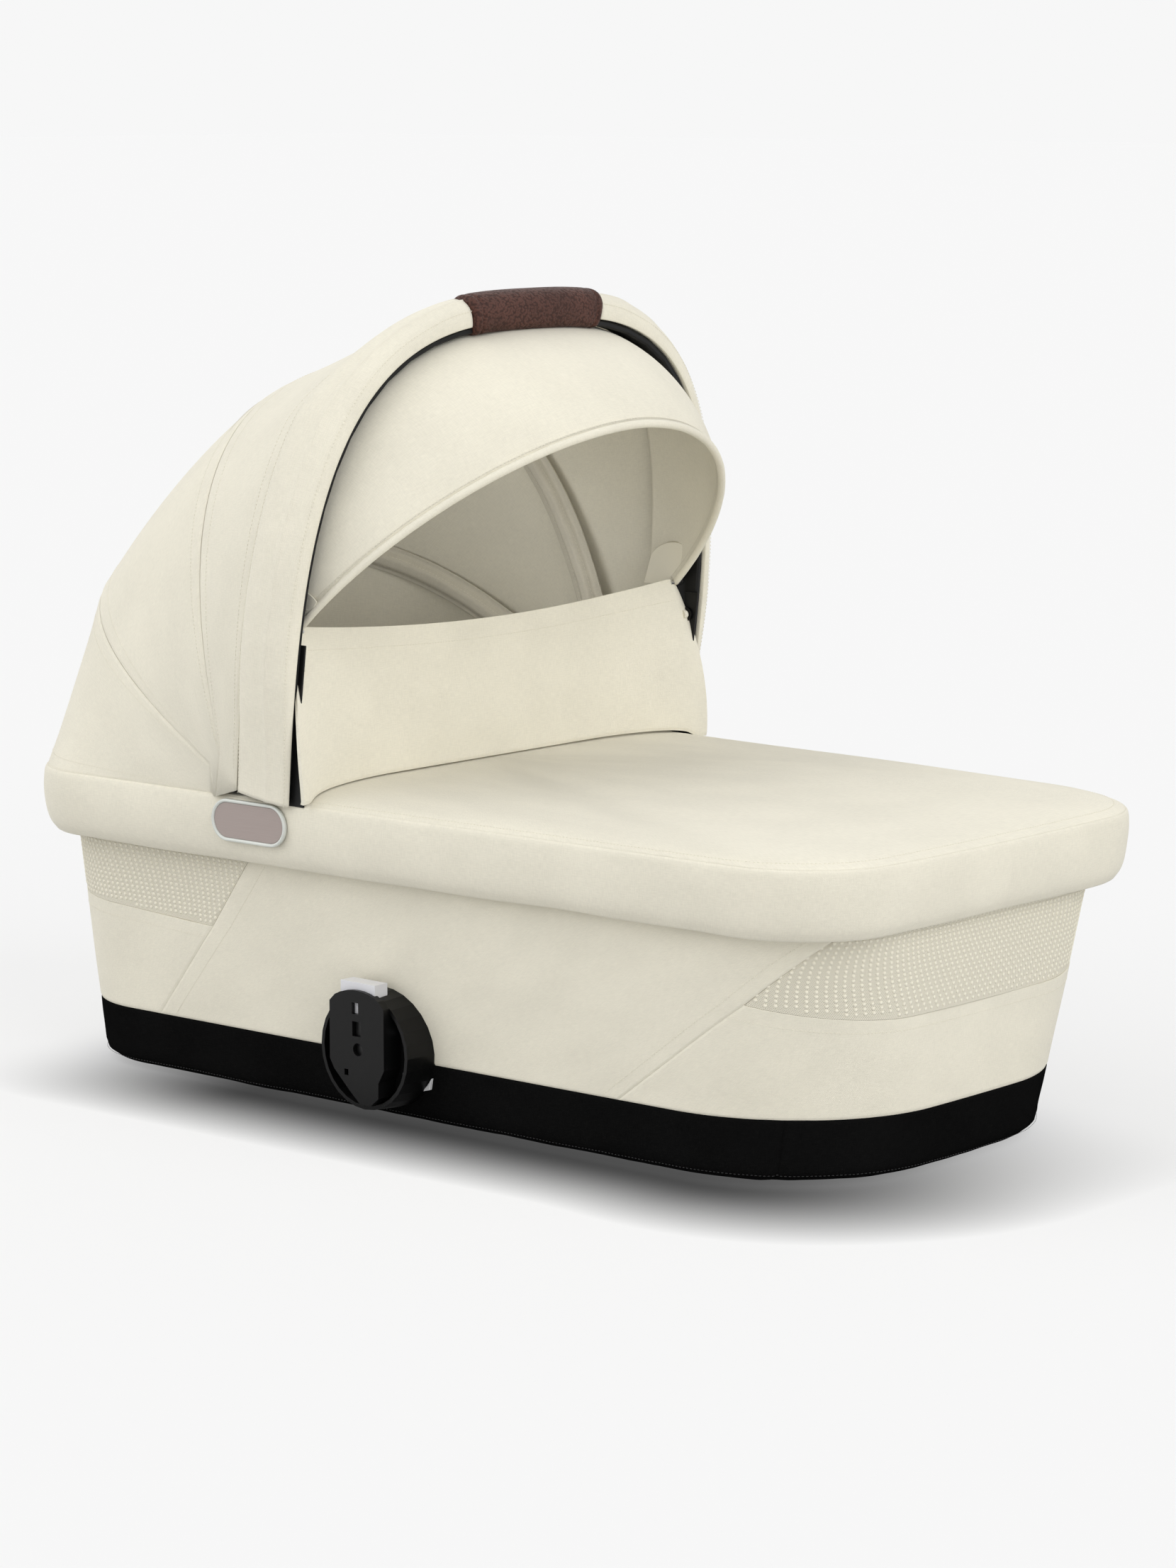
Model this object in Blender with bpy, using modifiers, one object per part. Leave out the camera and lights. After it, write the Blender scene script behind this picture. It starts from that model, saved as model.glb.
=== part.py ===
"""Carrycot with a folding hood, a sun visor, a wind flap and an adapter for a pushchair frame on each side.

Lengths are in metres. X runs from the head end to the foot end, Y across, Z up from the floor.
The left side is the one at -Y.
"""

import math

import bmesh
import bpy
from mathutils import Matrix, Vector

# Overall size of the body, seen from above: it is widest near the head end and narrows towards the foot
LENGTH = 0.817
HALF_LENGTH = LENGTH / 2
HALF_WIDTH = 0.2196
WIDEST_FROM_HEAD = 0.1285
WIDEST_X = WIDEST_FROM_HEAD - HALF_LENGTH
# Share by which the width narrows towards the foot over this run
TAPER_SHARE = 0.058
TAPER_RUN = 0.4000
TAPER = TAPER_SHARE / TAPER_RUN
HEAD_END_RADIUS = 0.466
# How far each nearly straight edge bows out over a run of it
HEAD_SIDE_RUN = 0.1600
HEAD_SIDE_BULGE = 0.0040
FOOT_SIDE_RUN = 0.4000
FOOT_SIDE_BULGE = 0.0016
FOOT_END_RUN = 0.1450
FOOT_END_BULGE = 0.003625
HEAD_SIDE_RADIUS = HEAD_SIDE_RUN * HEAD_SIDE_RUN / (2 * HEAD_SIDE_BULGE)
FOOT_SIDE_RADIUS = FOOT_SIDE_RUN * FOOT_SIDE_RUN / (2 * FOOT_SIDE_BULGE)
FOOT_END_RADIUS = FOOT_END_RUN * FOOT_END_RUN / (2 * FOOT_END_BULGE)
GAP = 0.0003
CUT_OVERRUN = 0.02

# Rim band: height of each line round it, and how far the line lies inside the widest one
RIM_HEAD_CORNER = 0.077
RIM_FOOT_CORNER = 0.086
RIM_TOP = 0.2332
RIM_TOP_INSET = 0.0026
RIM_SHOULDER = 0.2290
RIM_SHOULDER_INSET = 0.0005
RIM_BELLY = 0.2150
RIM_TURN = 0.2000
RIM_TURN_INSET = 0.0018
RIM_BOTTOM = 0.1834
RIM_BOTTOM_INSET = 0.0095
RIM_LIP_Z = 0.2340
RIM_LIP_INSET = 0.0140
RIM_LIP_EDGE_INSET = 0.0275
RIM_LIP_EDGE_Z = 0.2335
BAND_THICKNESS = 0.0035
BAND_REAR_X = -0.0860

# Side wall: height, inset of the sides, of the head end and of the foot end, and the corner radii
WALL_LEVELS = (
    (0.0175, 0.0370, 0.0331, 0.0332, 0.080, 0.134),
    (0.0485, 0.0345, 0.0295, 0.0285, 0.082, 0.130),
    (0.1130, 0.0285, 0.0237, 0.0235, 0.084, 0.113),
    (0.1780, 0.0245, 0.0169, 0.0191, 0.084, 0.093),
)
WALL_FOOT = WALL_LEVELS[0][0]
WALL_TOP = WALL_LEVELS[-1][0]
COVER_TOP = 0.1900
COVER_THICKNESS = 0.0025
BOOT_TOP = 0.0480
BOOT_THICKNESS = 0.0015
BOOT_EDGE_RADIUS = 0.0160
BOOT_FLANGE = 0.0120

# Vents: lower edge, and a slanted edge given by where it meets the rim band and its slope
VENT_BOTTOM = 0.1308
HEAD_VENT_BOTTOM = 0.1246
VENT_THICKNESS = 0.0012
FOOT_VENT_FROM_END = 0.0346
FOOT_VENT_X = HALF_LENGTH - FOOT_VENT_FROM_END
FOOT_VENT_SLOPE = 0.85
FOOT_VENT_END_FROM_END = 0.0225
FOOT_VENT_END_X = HALF_LENGTH - FOOT_VENT_END_FROM_END
FOOT_VENT_END_Z = 0.1175
HEAD_VENT_X = -0.1410
HEAD_VENT_SLOPE = 1.33
HEAD_VENT_END_FROM_END = 0.0585
HEAD_VENT_END_X = HEAD_VENT_END_FROM_END - HALF_LENGTH
HEAD_VENT_END_Z = 0.1335

# Tub, floor board, lining and mattress
TUB_THICKNESS = 0.0030
TUB_TOP = 0.0465
BOARD_THICKNESS = 0.0040
COLUMN_THICKNESS = 0.0070
COLUMN_FOOT_WIDTH = 0.076
COLUMN_TOP_WIDTH = 0.046
COLUMN_HEAD_HEIGHT = 0.0070
COLUMN_HEAD_IN = 0.0340
COLUMN_HEAD_OUT = 0.0105
LINING_THICKNESS = 0.0020
LINING_TOP = 0.2285
LINING_TOP_INSET = 0.0290
LINING_KNEE_INSET = 0.0345
MATTRESS_SIDE = 0.036
MATTRESS_CROWN = 0.012
MATTRESS_CHANNEL_DEPTH = 0.006
MATTRESS_CHANNEL_HALF = 0.009
MATTRESS_CHANNELS = 5
FOOT_PAD_RADIUS = 0.014
FOOT_PAD_FROM_END = 0.1785
FOOT_PAD_FROM_SIDE = 0.1246
FOOT_PAD_X = HALF_LENGTH - FOOT_PAD_FROM_END
FOOT_PAD_Y = HALF_WIDTH - FOOT_PAD_FROM_SIDE

# Rim hoop
HOOP_RADIUS = 0.0065
HOOP_INSET = 0.0145
HOOP_Z = 0.2050

# Apron top and wind flap
APRON_CROWN = 0.0090
# Share of the way out from the middle, share of the crown
APRON_PROFILE = ((1, 0), (0.94, 0.60), (0.80, 0.90), (0.50, 1), (0.15, 1))
FLAP_HINGE_X = -0.0495
FLAP_MIDDLE_X = -0.0740
FLAP_TOP_X = -0.0810
FLAP_END_TOP_X = -0.0770
FLAP_HALF_BASE = 0.2180
FLAP_HALF_TOP = 0.2120
FLAP_BEND_START = 0.120
FLAP_END_TOP = 0.3620
FLAP_MIDDLE_DROP = 0.0130
FLAP_MIDDLE_TOP = FLAP_END_TOP - FLAP_MIDDLE_DROP
FLAP_THICKNESS = 0.0030
FLAP_NARROW_SHARE = 0.45
FLAP_CLEARANCE = 0.0014
FLAP_CORNER_DROP = 0.0140
FLAP_CORNER_SHARE = 0.90
FLAP_EDGE_SHARE = 0.945
POPPER_RADIUS = 0.0055
POPPER_THICKNESS = 0.0016
POPPER_DROP = 0.0300
POPPER_Z = FLAP_END_TOP - POPPER_DROP

# Hood pivot, on both sides
PIVOT_X = -0.1380
PIVOT_Z = 0.2430
PIN_RADIUS = 0.0040
PIN_CLEARANCE = 0.0004
EYE_RADIUS = 0.0080
EYE_THICKNESS = 0.0036
PIN_HEAD_THICKNESS = 0.0015
HUB_PLATE_IN = 0.1950
HUB_FOOT_HALF = 0.024

# Bows: distance from the pivot, half width, angle back from upright, and how square the arch is
BOW_WIDTH = 0.008
BOW_THICKNESS = 0.0030
MIDDLE_BOW_ANGLE = math.radians(15.8)
MIDDLE_BOW_REACH = 0.2943
MIDDLE_BOW_HALF = 0.2073
MIDDLE_BOW_SPLAY = 0.080
MIDDLE_BOW_SQUARE = 2.6
REAR_BOW_ANGLE = math.radians(59.2)
REAR_BOW_REACH = 0.2685
REAR_BOW_HALF = 0.2031
REAR_BOW_SPLAY = 0.08
REAR_BOW_SQUARE = 3.0

# Handle arch: its reference line is the front inner edge of the sleeve
HANDLE_X = -0.0776
HANDLE_Z = 0.2130
HANDLE_ANGLE = math.radians(-7.1)
HANDLE_REACH = 0.3658
HANDLE_HALF = 0.2225
HANDLE_SQUARE = 3.03
HANDLE_SPLAY = 0.095
HANDLE_WIDTH = 0.052
# Height, width of the sleeve, its thickness, width of the core inside it
HANDLE_STATIONS = (
    (0.2350, 0.0520, 0.0045, 0.0480),
    (0.3530, 0.0520, 0.0138, 0.0480),
    (0.5000, 0.0520, 0.0138, 0.0460),
    (0.5613, 0.0322, 0.0155, 0.0250),
    (0.5720, 0.0290, 0.0180, 0.0210),
)
# Section of the sleeve: share of its width from the front edge, share of its thickness
SLEEVE_SECTION = ((0, 0), (0, 0.35), (0.12, 0.80), (0.30, 1), (0.70, 1), (0.90, 0.80), (1, 0.35), (1, 0))
CORE_THICKNESS = 0.0052
CORE_MARGIN = 0.0020
HANDLE_FOOT_Z = 0.2350
GRIP_HALF = 0.070
GRIP_TOP = 0.0215
GRIP_MIDDLE = 0.0070
GRIP_BOTTOM = 0.0080
GRIP_FRONT = 0.0035
GRIP_REAR = 0.0265
GRIP_TOP_SQUARE = 2.3
GRIP_BOTTOM_SQUARE = 3.6
LUG_RADIUS = 0.0084
LUG_THICKNESS = 0.0060
LUG_SET_IN = 0.0038

# Hood fabric: outside of the sewn line over each bow
FABRIC_THICKNESS = 0.0020
FABRIC_HALF = 0.2270
FABRIC_START = 0.022
FABRIC_FOOT_Z = 0.2345
MIDDLE_FOOT_X = -0.1500
REAR_FOOT_X = -0.1530
RIM_FOOT_X = -0.1565
REAR_FABRIC_HALF = 0.2255
SEAM_GAP = 0.0006
FABRIC_LIFT = 0.30
SLEEVE_SEAM = 0.0015
BOW_CLEARANCE = 0.0015

# Sun visor, turning about the ends of its hem, just below the top corners of the flap
VISOR_X = -0.0774
VISOR_BELOW_FLAP_TOP = 0.0044
VISOR_Z = FLAP_END_TOP - VISOR_BELOW_FLAP_TOP
VISOR_SIDE_CLEARANCE = 0.0085
VISOR_TOP_CLEARANCE = 0.0125
VISOR_REAR_ANGLE = math.radians(-12.0)
VISOR_ROOM = HANDLE_Z + HANDLE_REACH * math.cos(HANDLE_ANGLE) - VISOR_TOP_CLEARANCE - VISOR_Z
VISOR_REAR_REACH = VISOR_ROOM / math.cos(VISOR_REAR_ANGLE)
VISOR_REAR_IN = 0.0015
VISOR_REAR_SQUARE = 2.9
VISOR_HEM_ANGLE = math.radians(-45.1)
VISOR_HEM_SHORT = 0.0040
VISOR_HEM_REACH = VISOR_REAR_REACH - VISOR_HEM_SHORT
VISOR_HEM_SQUARE = 1.87
VISOR_HEM_RADIUS = 0.0030
VISOR_START = 0.012
VISOR_THICKNESS = 0.0020
VISOR_EYE_RADIUS = 0.0055

# Frame adapter: a tapered housing with a pocket, a slotted plate and a sprung slider
ADAPTER_X = -0.0145
ADAPTER_Z = 0.0565
HOUSING_FRONT_RADIUS = 0.0434
HOUSING_FRONT_Y = 0.2100
HOUSING_BACK_RADIUS = 0.0480
HOUSING_BACK_Y = 0.1560
HOUSING_LIP = 0.0028
POCKET_DEPTH = 0.0120
PLATE_PROUD = 0.0060
PLATE_WALL = 0.0030
PLATE_HEAD_SIDE = 0.0290
PLATE_FOOT_SIDE = 0.0255
PLATE_SHOULDER = 0.0350
PLATE_TOP = 0.0456
# Lower edge of the plate in X and Z from the adapter's middle, from the head side to the foot side
PLATE_LOWER_EDGE = (
    (-0.0290, -0.0080), (-0.0246, -0.0153), (-0.0089, -0.0298), (0.0018, -0.0387), (0.0120, -0.0380),
    (0.0197, -0.0317), (0.0199, -0.0201), (0.0255, -0.0103),
)
# Holes through the plate: place in X and Z, half width, half height
PLATE_SLOTS = ((-0.0031, 0.0321, 0.0032, 0.0042), (-0.0018, 0.0170, 0.0042, 0.0055),
               (-0.0123, -0.0162, 0.0020, 0.0023))
KEYHOLE_X = -0.0006
KEYHOLE_Z = 0.0019
KEYHOLE_RADIUS = 0.0048
CHANNEL_X = -0.0025
CHANNEL_HALF = 0.0092
CHANNEL_BOTTOM = -0.0225
PAD_X = -0.0040
PAD_HALF = 0.0172
PAD_TOP = 0.0505
PAD_BOTTOM = 0.0330
PAD_FRONT_SET_BACK = 0.0032
TONGUE_BOTTOM = -0.0095
BUTTON_TRAVEL = 0.0050
SPRING_COIL_RADIUS = 0.0030
SPRING_WIRE_RADIUS = 0.0005
SPRING_TURNS = 5
SCREW_RADIUS = 0.0026
SCREW_HEAD = 0.0016
SCREW_X = 0.0312
SCREW_SPREAD = 0.0150

# Badge pill on the rim band, left bare
BADGE_X = -0.1160
BADGE_Z = 0.2150
BADGE_HALF_LENGTH = 0.0372
BADGE_HALF_HEIGHT = 0.0158
BADGE_THICKNESS = 0.0030
BADGE_RIM = 0.0028
BADGE_RECESS = 0.0010

# How finely round shapes are cut up, and how fast a corner arc without room gets smaller
CORNER_STEP_SHARE = 0.95
SIDE_STEPS = 3
CORNER_STEPS = 5
END_STEPS = 2
ARCH_STEPS = 28
HANDLE_STEPS = 36
ROUND_STEPS = 28
PIN_STEPS = 16

# Colours as seen in daylight, with roughness and metallic value
FINISHES = {
    "cream_fabric": ((0.78, 0.75, 0.64), 0.90, 0.0),
    "cream_mesh": ((0.70, 0.67, 0.57), 0.92, 0.0),
    "lining_fabric": ((0.62, 0.60, 0.52), 0.92, 0.0),
    "black_fabric": ((0.012, 0.012, 0.012), 0.88, 0.0),
    "black_plastic": ((0.010, 0.010, 0.011), 0.42, 0.0),
    "grey_plastic": ((0.66, 0.66, 0.69), 0.40, 0.0),
    "leather": ((0.075, 0.040, 0.032), 0.55, 0.0),
    "steel": ((0.55, 0.55, 0.56), 0.30, 1.0),
    "aluminium": ((0.70, 0.71, 0.72), 0.35, 1.0),
    "badge": ((0.40, 0.35, 0.33), 0.45, 0.0),
    "board": ((0.30, 0.24, 0.18), 0.80, 0.0),
    "foam_cover": ((0.80, 0.79, 0.74), 0.92, 0.0),
    "rubber": ((0.02, 0.02, 0.02), 0.80, 0.0),
}

SIDES = (("left", -1), ("right", 1))


def clear_scene():
    for old in list(bpy.data.objects):
        bpy.data.objects.remove(old, do_unlink=True)


def collection(name):
    made = bpy.data.collections.new(name)
    bpy.context.scene.collection.children.link(made)
    return made


def finish_material(node, finish):
    colour, roughness, metallic = FINISHES[finish]
    made = bpy.data.materials.new(node + "_" + finish)
    made.use_nodes = True
    shader = made.node_tree.nodes["Principled BSDF"]
    shader.inputs["Base Color"].default_value = (*colour, 1)
    shader.inputs["Roughness"].default_value = roughness
    shader.inputs["Metallic"].default_value = metallic
    return made


def add(parts, name, shape, finish, sharp=math.radians(35)):
    """Turn a bmesh into a named object with its own material."""
    mesh = bpy.data.meshes.new(name)
    shape.to_mesh(mesh)
    shape.free()
    mesh.shade_smooth()
    mesh.set_sharp_from_angle(angle=sharp)
    made = bpy.data.objects.new(name, mesh)
    mesh.materials.append(finish_material(name, finish))
    parts.objects.link(made)
    return made


def as_cutter(cutters, name, shape):
    mesh = bpy.data.meshes.new(name)
    shape.to_mesh(mesh)
    shape.free()
    made = bpy.data.objects.new(name, mesh)
    made.hide_render = True
    made.display_type = "WIRE"
    cutters.objects.link(made)
    return made


def boolean(target, tool, operation):
    step = target.modifiers.new(operation.title(), "BOOLEAN")
    step.operation = operation
    step.object = tool


def thicken(target, thickness):
    """Give an open skin its thickness, inwards from the outer face."""
    step = target.modifiers.new("Thickness", "SOLIDIFY")
    step.thickness = thickness
    step.offset = -1
    step.use_even_offset = True


def mix(low, high, share):
    return low + (high - low) * share


def corner_centre(side, side_radius, corner, end, end_radius):
    """Centre of the corner arc that touches the side arc and the end arc from inside."""
    side_reach = side_radius - corner
    end_reach = end_radius - corner
    across = end - side
    apart = across.length
    along = (apart * apart + side_reach * side_reach - end_reach * end_reach) / (2 * apart)
    off = math.sqrt(max(0, side_reach * side_reach - along * along))
    unit = across / apart
    return side + unit * along + Vector((unit.y, -unit.x)) * off


def quarter(length, half_width, side_radius, corner, end_radius):
    """Quarter of an oval from the middle of its end to its widest point, by three tangent arcs.

    The corner arc is no larger than the quarter has room for."""
    side = Vector((0, half_width - side_radius))
    end = Vector((length - end_radius, 0))
    centre = corner_centre(side, side_radius, corner, end, end_radius)
    while centre.x <= 0:
        corner *= CORNER_STEP_SHARE
        centre = corner_centre(side, side_radius, corner, end, end_radius)
    end_angle = math.atan2(centre.y - end.y, centre.x - end.x)
    side_angle = math.atan2(centre.y - side.y, centre.x - side.x)
    points = []
    for arc_centre, radius, first, last, steps in (
        (end, end_radius, 0, end_angle, END_STEPS),
        (centre, corner, end_angle, side_angle, CORNER_STEPS),
        (side, side_radius, side_angle, math.pi / 2, SIDE_STEPS),
    ):
        for step in range(steps):
            angle = mix(first, last, step / steps)
            points.append(arc_centre + radius * Vector((math.cos(angle), math.sin(angle))))
    points.append(Vector((0, half_width)))
    return points


def ring(z, side, head, foot, head_corner, foot_corner):
    """Outline of the body at a height, anticlockwise from the foot end, with the insets given."""
    half_width = HALF_WIDTH - side
    foot_part = quarter(HALF_LENGTH - WIDEST_X - foot, half_width, FOOT_SIDE_RADIUS, foot_corner,
                        FOOT_END_RADIUS)
    head_part = quarter(HALF_LENGTH + WIDEST_X - head, half_width, HEAD_SIDE_RADIUS, head_corner,
                        HEAD_END_RADIUS)
    upper = foot_part + [Vector((-p.x, p.y)) for p in reversed(head_part[:-1])]
    upper = [(p.x + WIDEST_X, p.y * (1 - TAPER * (p.x + WIDEST_X))) for p in upper]
    lower = [(x, -y) for x, y in reversed(upper[1:-1])]
    return [Vector((x, y, z)) for x, y in upper + lower]


def rim_ring(z, inset):
    return ring(z, inset, inset, inset, RIM_HEAD_CORNER - inset, RIM_FOOT_CORNER - inset)


def wall_level(z):
    """Insets and corner radii of the side wall at a height."""
    for lower, upper in zip(WALL_LEVELS, WALL_LEVELS[1:]):
        if z <= upper[0] or upper is WALL_LEVELS[-1]:
            share = (z - lower[0]) / (upper[0] - lower[0])
            return [mix(a, b, share) for a, b in zip(lower[1:], upper[1:])]


def wall_ring(z, depth):
    """Ring that lies at a depth behind the outer face of the side wall."""
    side, head, foot, head_corner, foot_corner = wall_level(z)
    return ring(z, side + depth, head + depth, foot + depth, head_corner - depth, foot_corner - depth)


def side_y(x, inset):
    """Distance from the middle to the long side of a ring with this inset, at x."""
    along = x - WIDEST_X
    bulge = FOOT_SIDE_RADIUS - math.sqrt(FOOT_SIDE_RADIUS * FOOT_SIDE_RADIUS - along * along)
    return (HALF_WIDTH - inset - bulge) * (1 - TAPER * x)


def wall_y(x, z, depth):
    return side_y(x, wall_level(z)[0] + depth)


def loft(rings, closed=True, cap_first=False, cap_last=False):
    """Skin of quads through rings of equal count."""
    shape = bmesh.new()
    rows = [[shape.verts.new(point) for point in points] for points in rings]
    count = len(rows[0])
    last = count if closed else count - 1
    for lower, upper in zip(rows, rows[1:]):
        for i in range(last):
            j = (i + 1) % count
            shape.faces.new((lower[i], lower[j], upper[j], upper[i]))
    if cap_first:
        shape.faces.new(list(reversed(rows[0])))
    if cap_last:
        shape.faces.new(rows[-1])
    return shape


def closed_loft(rings):
    shape = loft(rings, cap_first=True, cap_last=True)
    bmesh.ops.recalc_face_normals(shape, faces=shape.faces)
    return shape


def sheet_between(outer, inner):
    """Closed sheet from two grids of points that face each other."""
    shape = bmesh.new()
    tops = [[shape.verts.new(point) for point in row] for row in outer]
    unders = [[shape.verts.new(point) for point in row] for row in inner]
    rows, count = len(tops), len(tops[0])
    for a in range(rows - 1):
        for i in range(count - 1):
            shape.faces.new((tops[a][i], tops[a][i + 1], tops[a + 1][i + 1], tops[a + 1][i]))
            shape.faces.new((unders[a][i], unders[a + 1][i], unders[a + 1][i + 1], unders[a][i + 1]))
    for a in range(rows - 1):
        for i in (0, count - 1):
            shape.faces.new((tops[a][i], tops[a + 1][i], unders[a + 1][i], unders[a][i]))
    for i in range(count - 1):
        for a in (0, rows - 1):
            shape.faces.new((tops[a][i], unders[a][i], unders[a][i + 1], tops[a][i + 1]))
    bmesh.ops.recalc_face_normals(shape, faces=shape.faces)
    return shape


def cut_off(shape, x, keep_foot_side):
    """Cut an open skin at a plane across X and keep one side of it."""
    bmesh.ops.bisect_plane(
        shape,
        geom=shape.verts[:] + shape.edges[:] + shape.faces[:],
        plane_co=(x, 0, 0),
        plane_no=(1, 0, 0),
        clear_inner=keep_foot_side,
        clear_outer=not keep_foot_side,
    )


def cylinder_y(x, z, radius, y_from, y_to, steps=ROUND_STEPS, radius_to=None):
    """Round bar or cone along Y."""
    shape = bmesh.new()
    near, far = sorted((y_from, y_to))
    near_radius = radius if y_from < y_to else (radius_to or radius)
    far_radius = (radius_to or radius) if y_from < y_to else radius
    turn = Matrix.Rotation(-math.pi / 2, 4, "X")
    bmesh.ops.create_cone(
        shape,
        cap_ends=True,
        segments=steps,
        radius1=near_radius,
        radius2=far_radius,
        depth=far - near,
        matrix=Matrix.Translation((x, (near + far) / 2, z)) @ turn,
    )
    return shape


def box(low, high):
    shape = bmesh.new()
    low, high = Vector(low), Vector(high)
    size = high - low
    place = Matrix.Translation((low + high) / 2) @ Matrix.Diagonal((*(abs(v) for v in size), 1))
    bmesh.ops.create_cube(shape, size=1, matrix=place)
    return shape


def prism_y(points, y_from, y_to):
    """Solid with a flat outline in X and Z, between two values of Y."""
    return closed_loft([[Vector((p[0], y, p[1])) for p in points] for y in (y_from, y_to)])


def rounded(b_low, b_high, n_low, n_high, radius, steps=3):
    """Rounded rectangle as a list of section points, anticlockwise."""
    points = []
    corners = (
        (b_high - radius, n_high - radius, 0),
        (b_low + radius, n_high - radius, 1),
        (b_low + radius, n_low + radius, 2),
        (b_high - radius, n_low + radius, 3),
    )
    for b, n, quarter in corners:
        for step in range(steps + 1):
            angle = (quarter + step / steps) * math.pi / 2
            points.append((b + radius * math.cos(angle), n + radius * math.sin(angle)))
    return points


def arch(x, z, angle, half, reach, square, splay=0, start=0, steps=ARCH_STEPS):
    """Points along an arch over the body, from -Y to +Y, evenly spaced along its length."""
    up = Vector((-math.sin(angle), 0, math.cos(angle)))
    fine = 12 * steps
    turn_start = math.asin((start / reach) ** (square / 2))
    path = []
    for step in range(fine + 1):
        turn = mix(turn_start, math.pi - turn_start, step / fine)
        across = -math.copysign(abs(math.cos(turn)) ** (2 / square), math.cos(turn)) * half
        rise = reach * math.sin(turn) ** (2 / square)
        path.append(Vector((x, across * (1 + splay * rise / reach), z)) + up * rise)
    return even(path, steps)


def even(path, steps):
    """The same path with evenly spaced points."""
    reached = [0]
    for a, b in zip(path, path[1:]):
        reached.append(reached[-1] + (b - a).length)
    points, at = [], 0
    for step in range(steps + 1):
        want = reached[-1] * step / steps
        while at < len(path) - 2 and reached[at + 1] < want:
            at += 1
        stretch = reached[at + 1] - reached[at]
        points.append(path[at].lerp(path[at + 1], (want - reached[at]) / stretch))
    return points


def frames(path, angle):
    """Place, direction across the arch's plane, and outward direction, at each point."""
    across = Vector((math.cos(angle), 0, math.sin(angle)))
    placed = []
    for i, point in enumerate(path):
        before = path[max(i - 1, 0)]
        after = path[min(i + 1, len(path) - 1)]
        outward = across.cross(after - before).normalized()
        placed.append((point, across, outward))
    return placed


def along(placed, b, n):
    return [point + across * b + outward * n for point, across, outward in placed]


def sweep(placed, section):
    """Closed solid with a section of (b, n) points carried along the arch."""
    return closed_loft([[p + a * b + o * n for b, n in section] for p, a, o in placed])


def sleeve_sweep(placed, outer, inner):
    """Hollow solid, open at both ends, with an outer and an inner section of equal count."""
    shape = bmesh.new()
    skins = []
    for section in (outer, inner):
        skins.append([[shape.verts.new(p + a * b + o * n) for b, n in section] for p, a, o in placed])
    count = len(outer)
    for rows in skins:
        for first, second in zip(rows, rows[1:]):
            for i in range(count):
                j = (i + 1) % count
                shape.faces.new((first[i], first[j], second[j], second[i]))
    for end in (0, -1):
        for i in range(count):
            j = (i + 1) % count
            shape.faces.new((skins[0][end][i], skins[0][end][j], skins[1][end][j], skins[1][end][i]))
    bmesh.ops.recalc_face_normals(shape, faces=shape.faces)
    return shape


def foot_rings(radius, steps=2):
    """Rings of a skin that rounds under the body, at this radius about the edge's centre line."""
    rings = []
    for step in range(steps + 1):
        angle = math.pi / 2 * (1 - step / steps)
        ring_at = wall_ring(WALL_FOOT, BOOT_EDGE_RADIUS - radius * math.cos(angle))
        rings.append([Vector((p.x, p.y, WALL_FOOT - radius * math.sin(angle))) for p in ring_at])
    return rings


def levels(low, high, steps):
    return [mix(low, high, step / steps) for step in range(steps + 1)]


def adapter_cone(cutters, name, side, extra):
    slope = (HOUSING_BACK_RADIUS - HOUSING_FRONT_RADIUS) / (HOUSING_FRONT_Y - HOUSING_BACK_Y)
    y_in = HOUSING_BACK_Y - CUT_OVERRUN
    y_out = HOUSING_FRONT_Y + CUT_OVERRUN
    return as_cutter(cutters, name, cylinder_y(
        ADAPTER_X, ADAPTER_Z,
        HOUSING_BACK_RADIUS + extra + slope * CUT_OVERRUN, side * y_in, side * y_out,
        radius_to=HOUSING_FRONT_RADIUS + extra - slope * CUT_OVERRUN,
    ))


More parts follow.
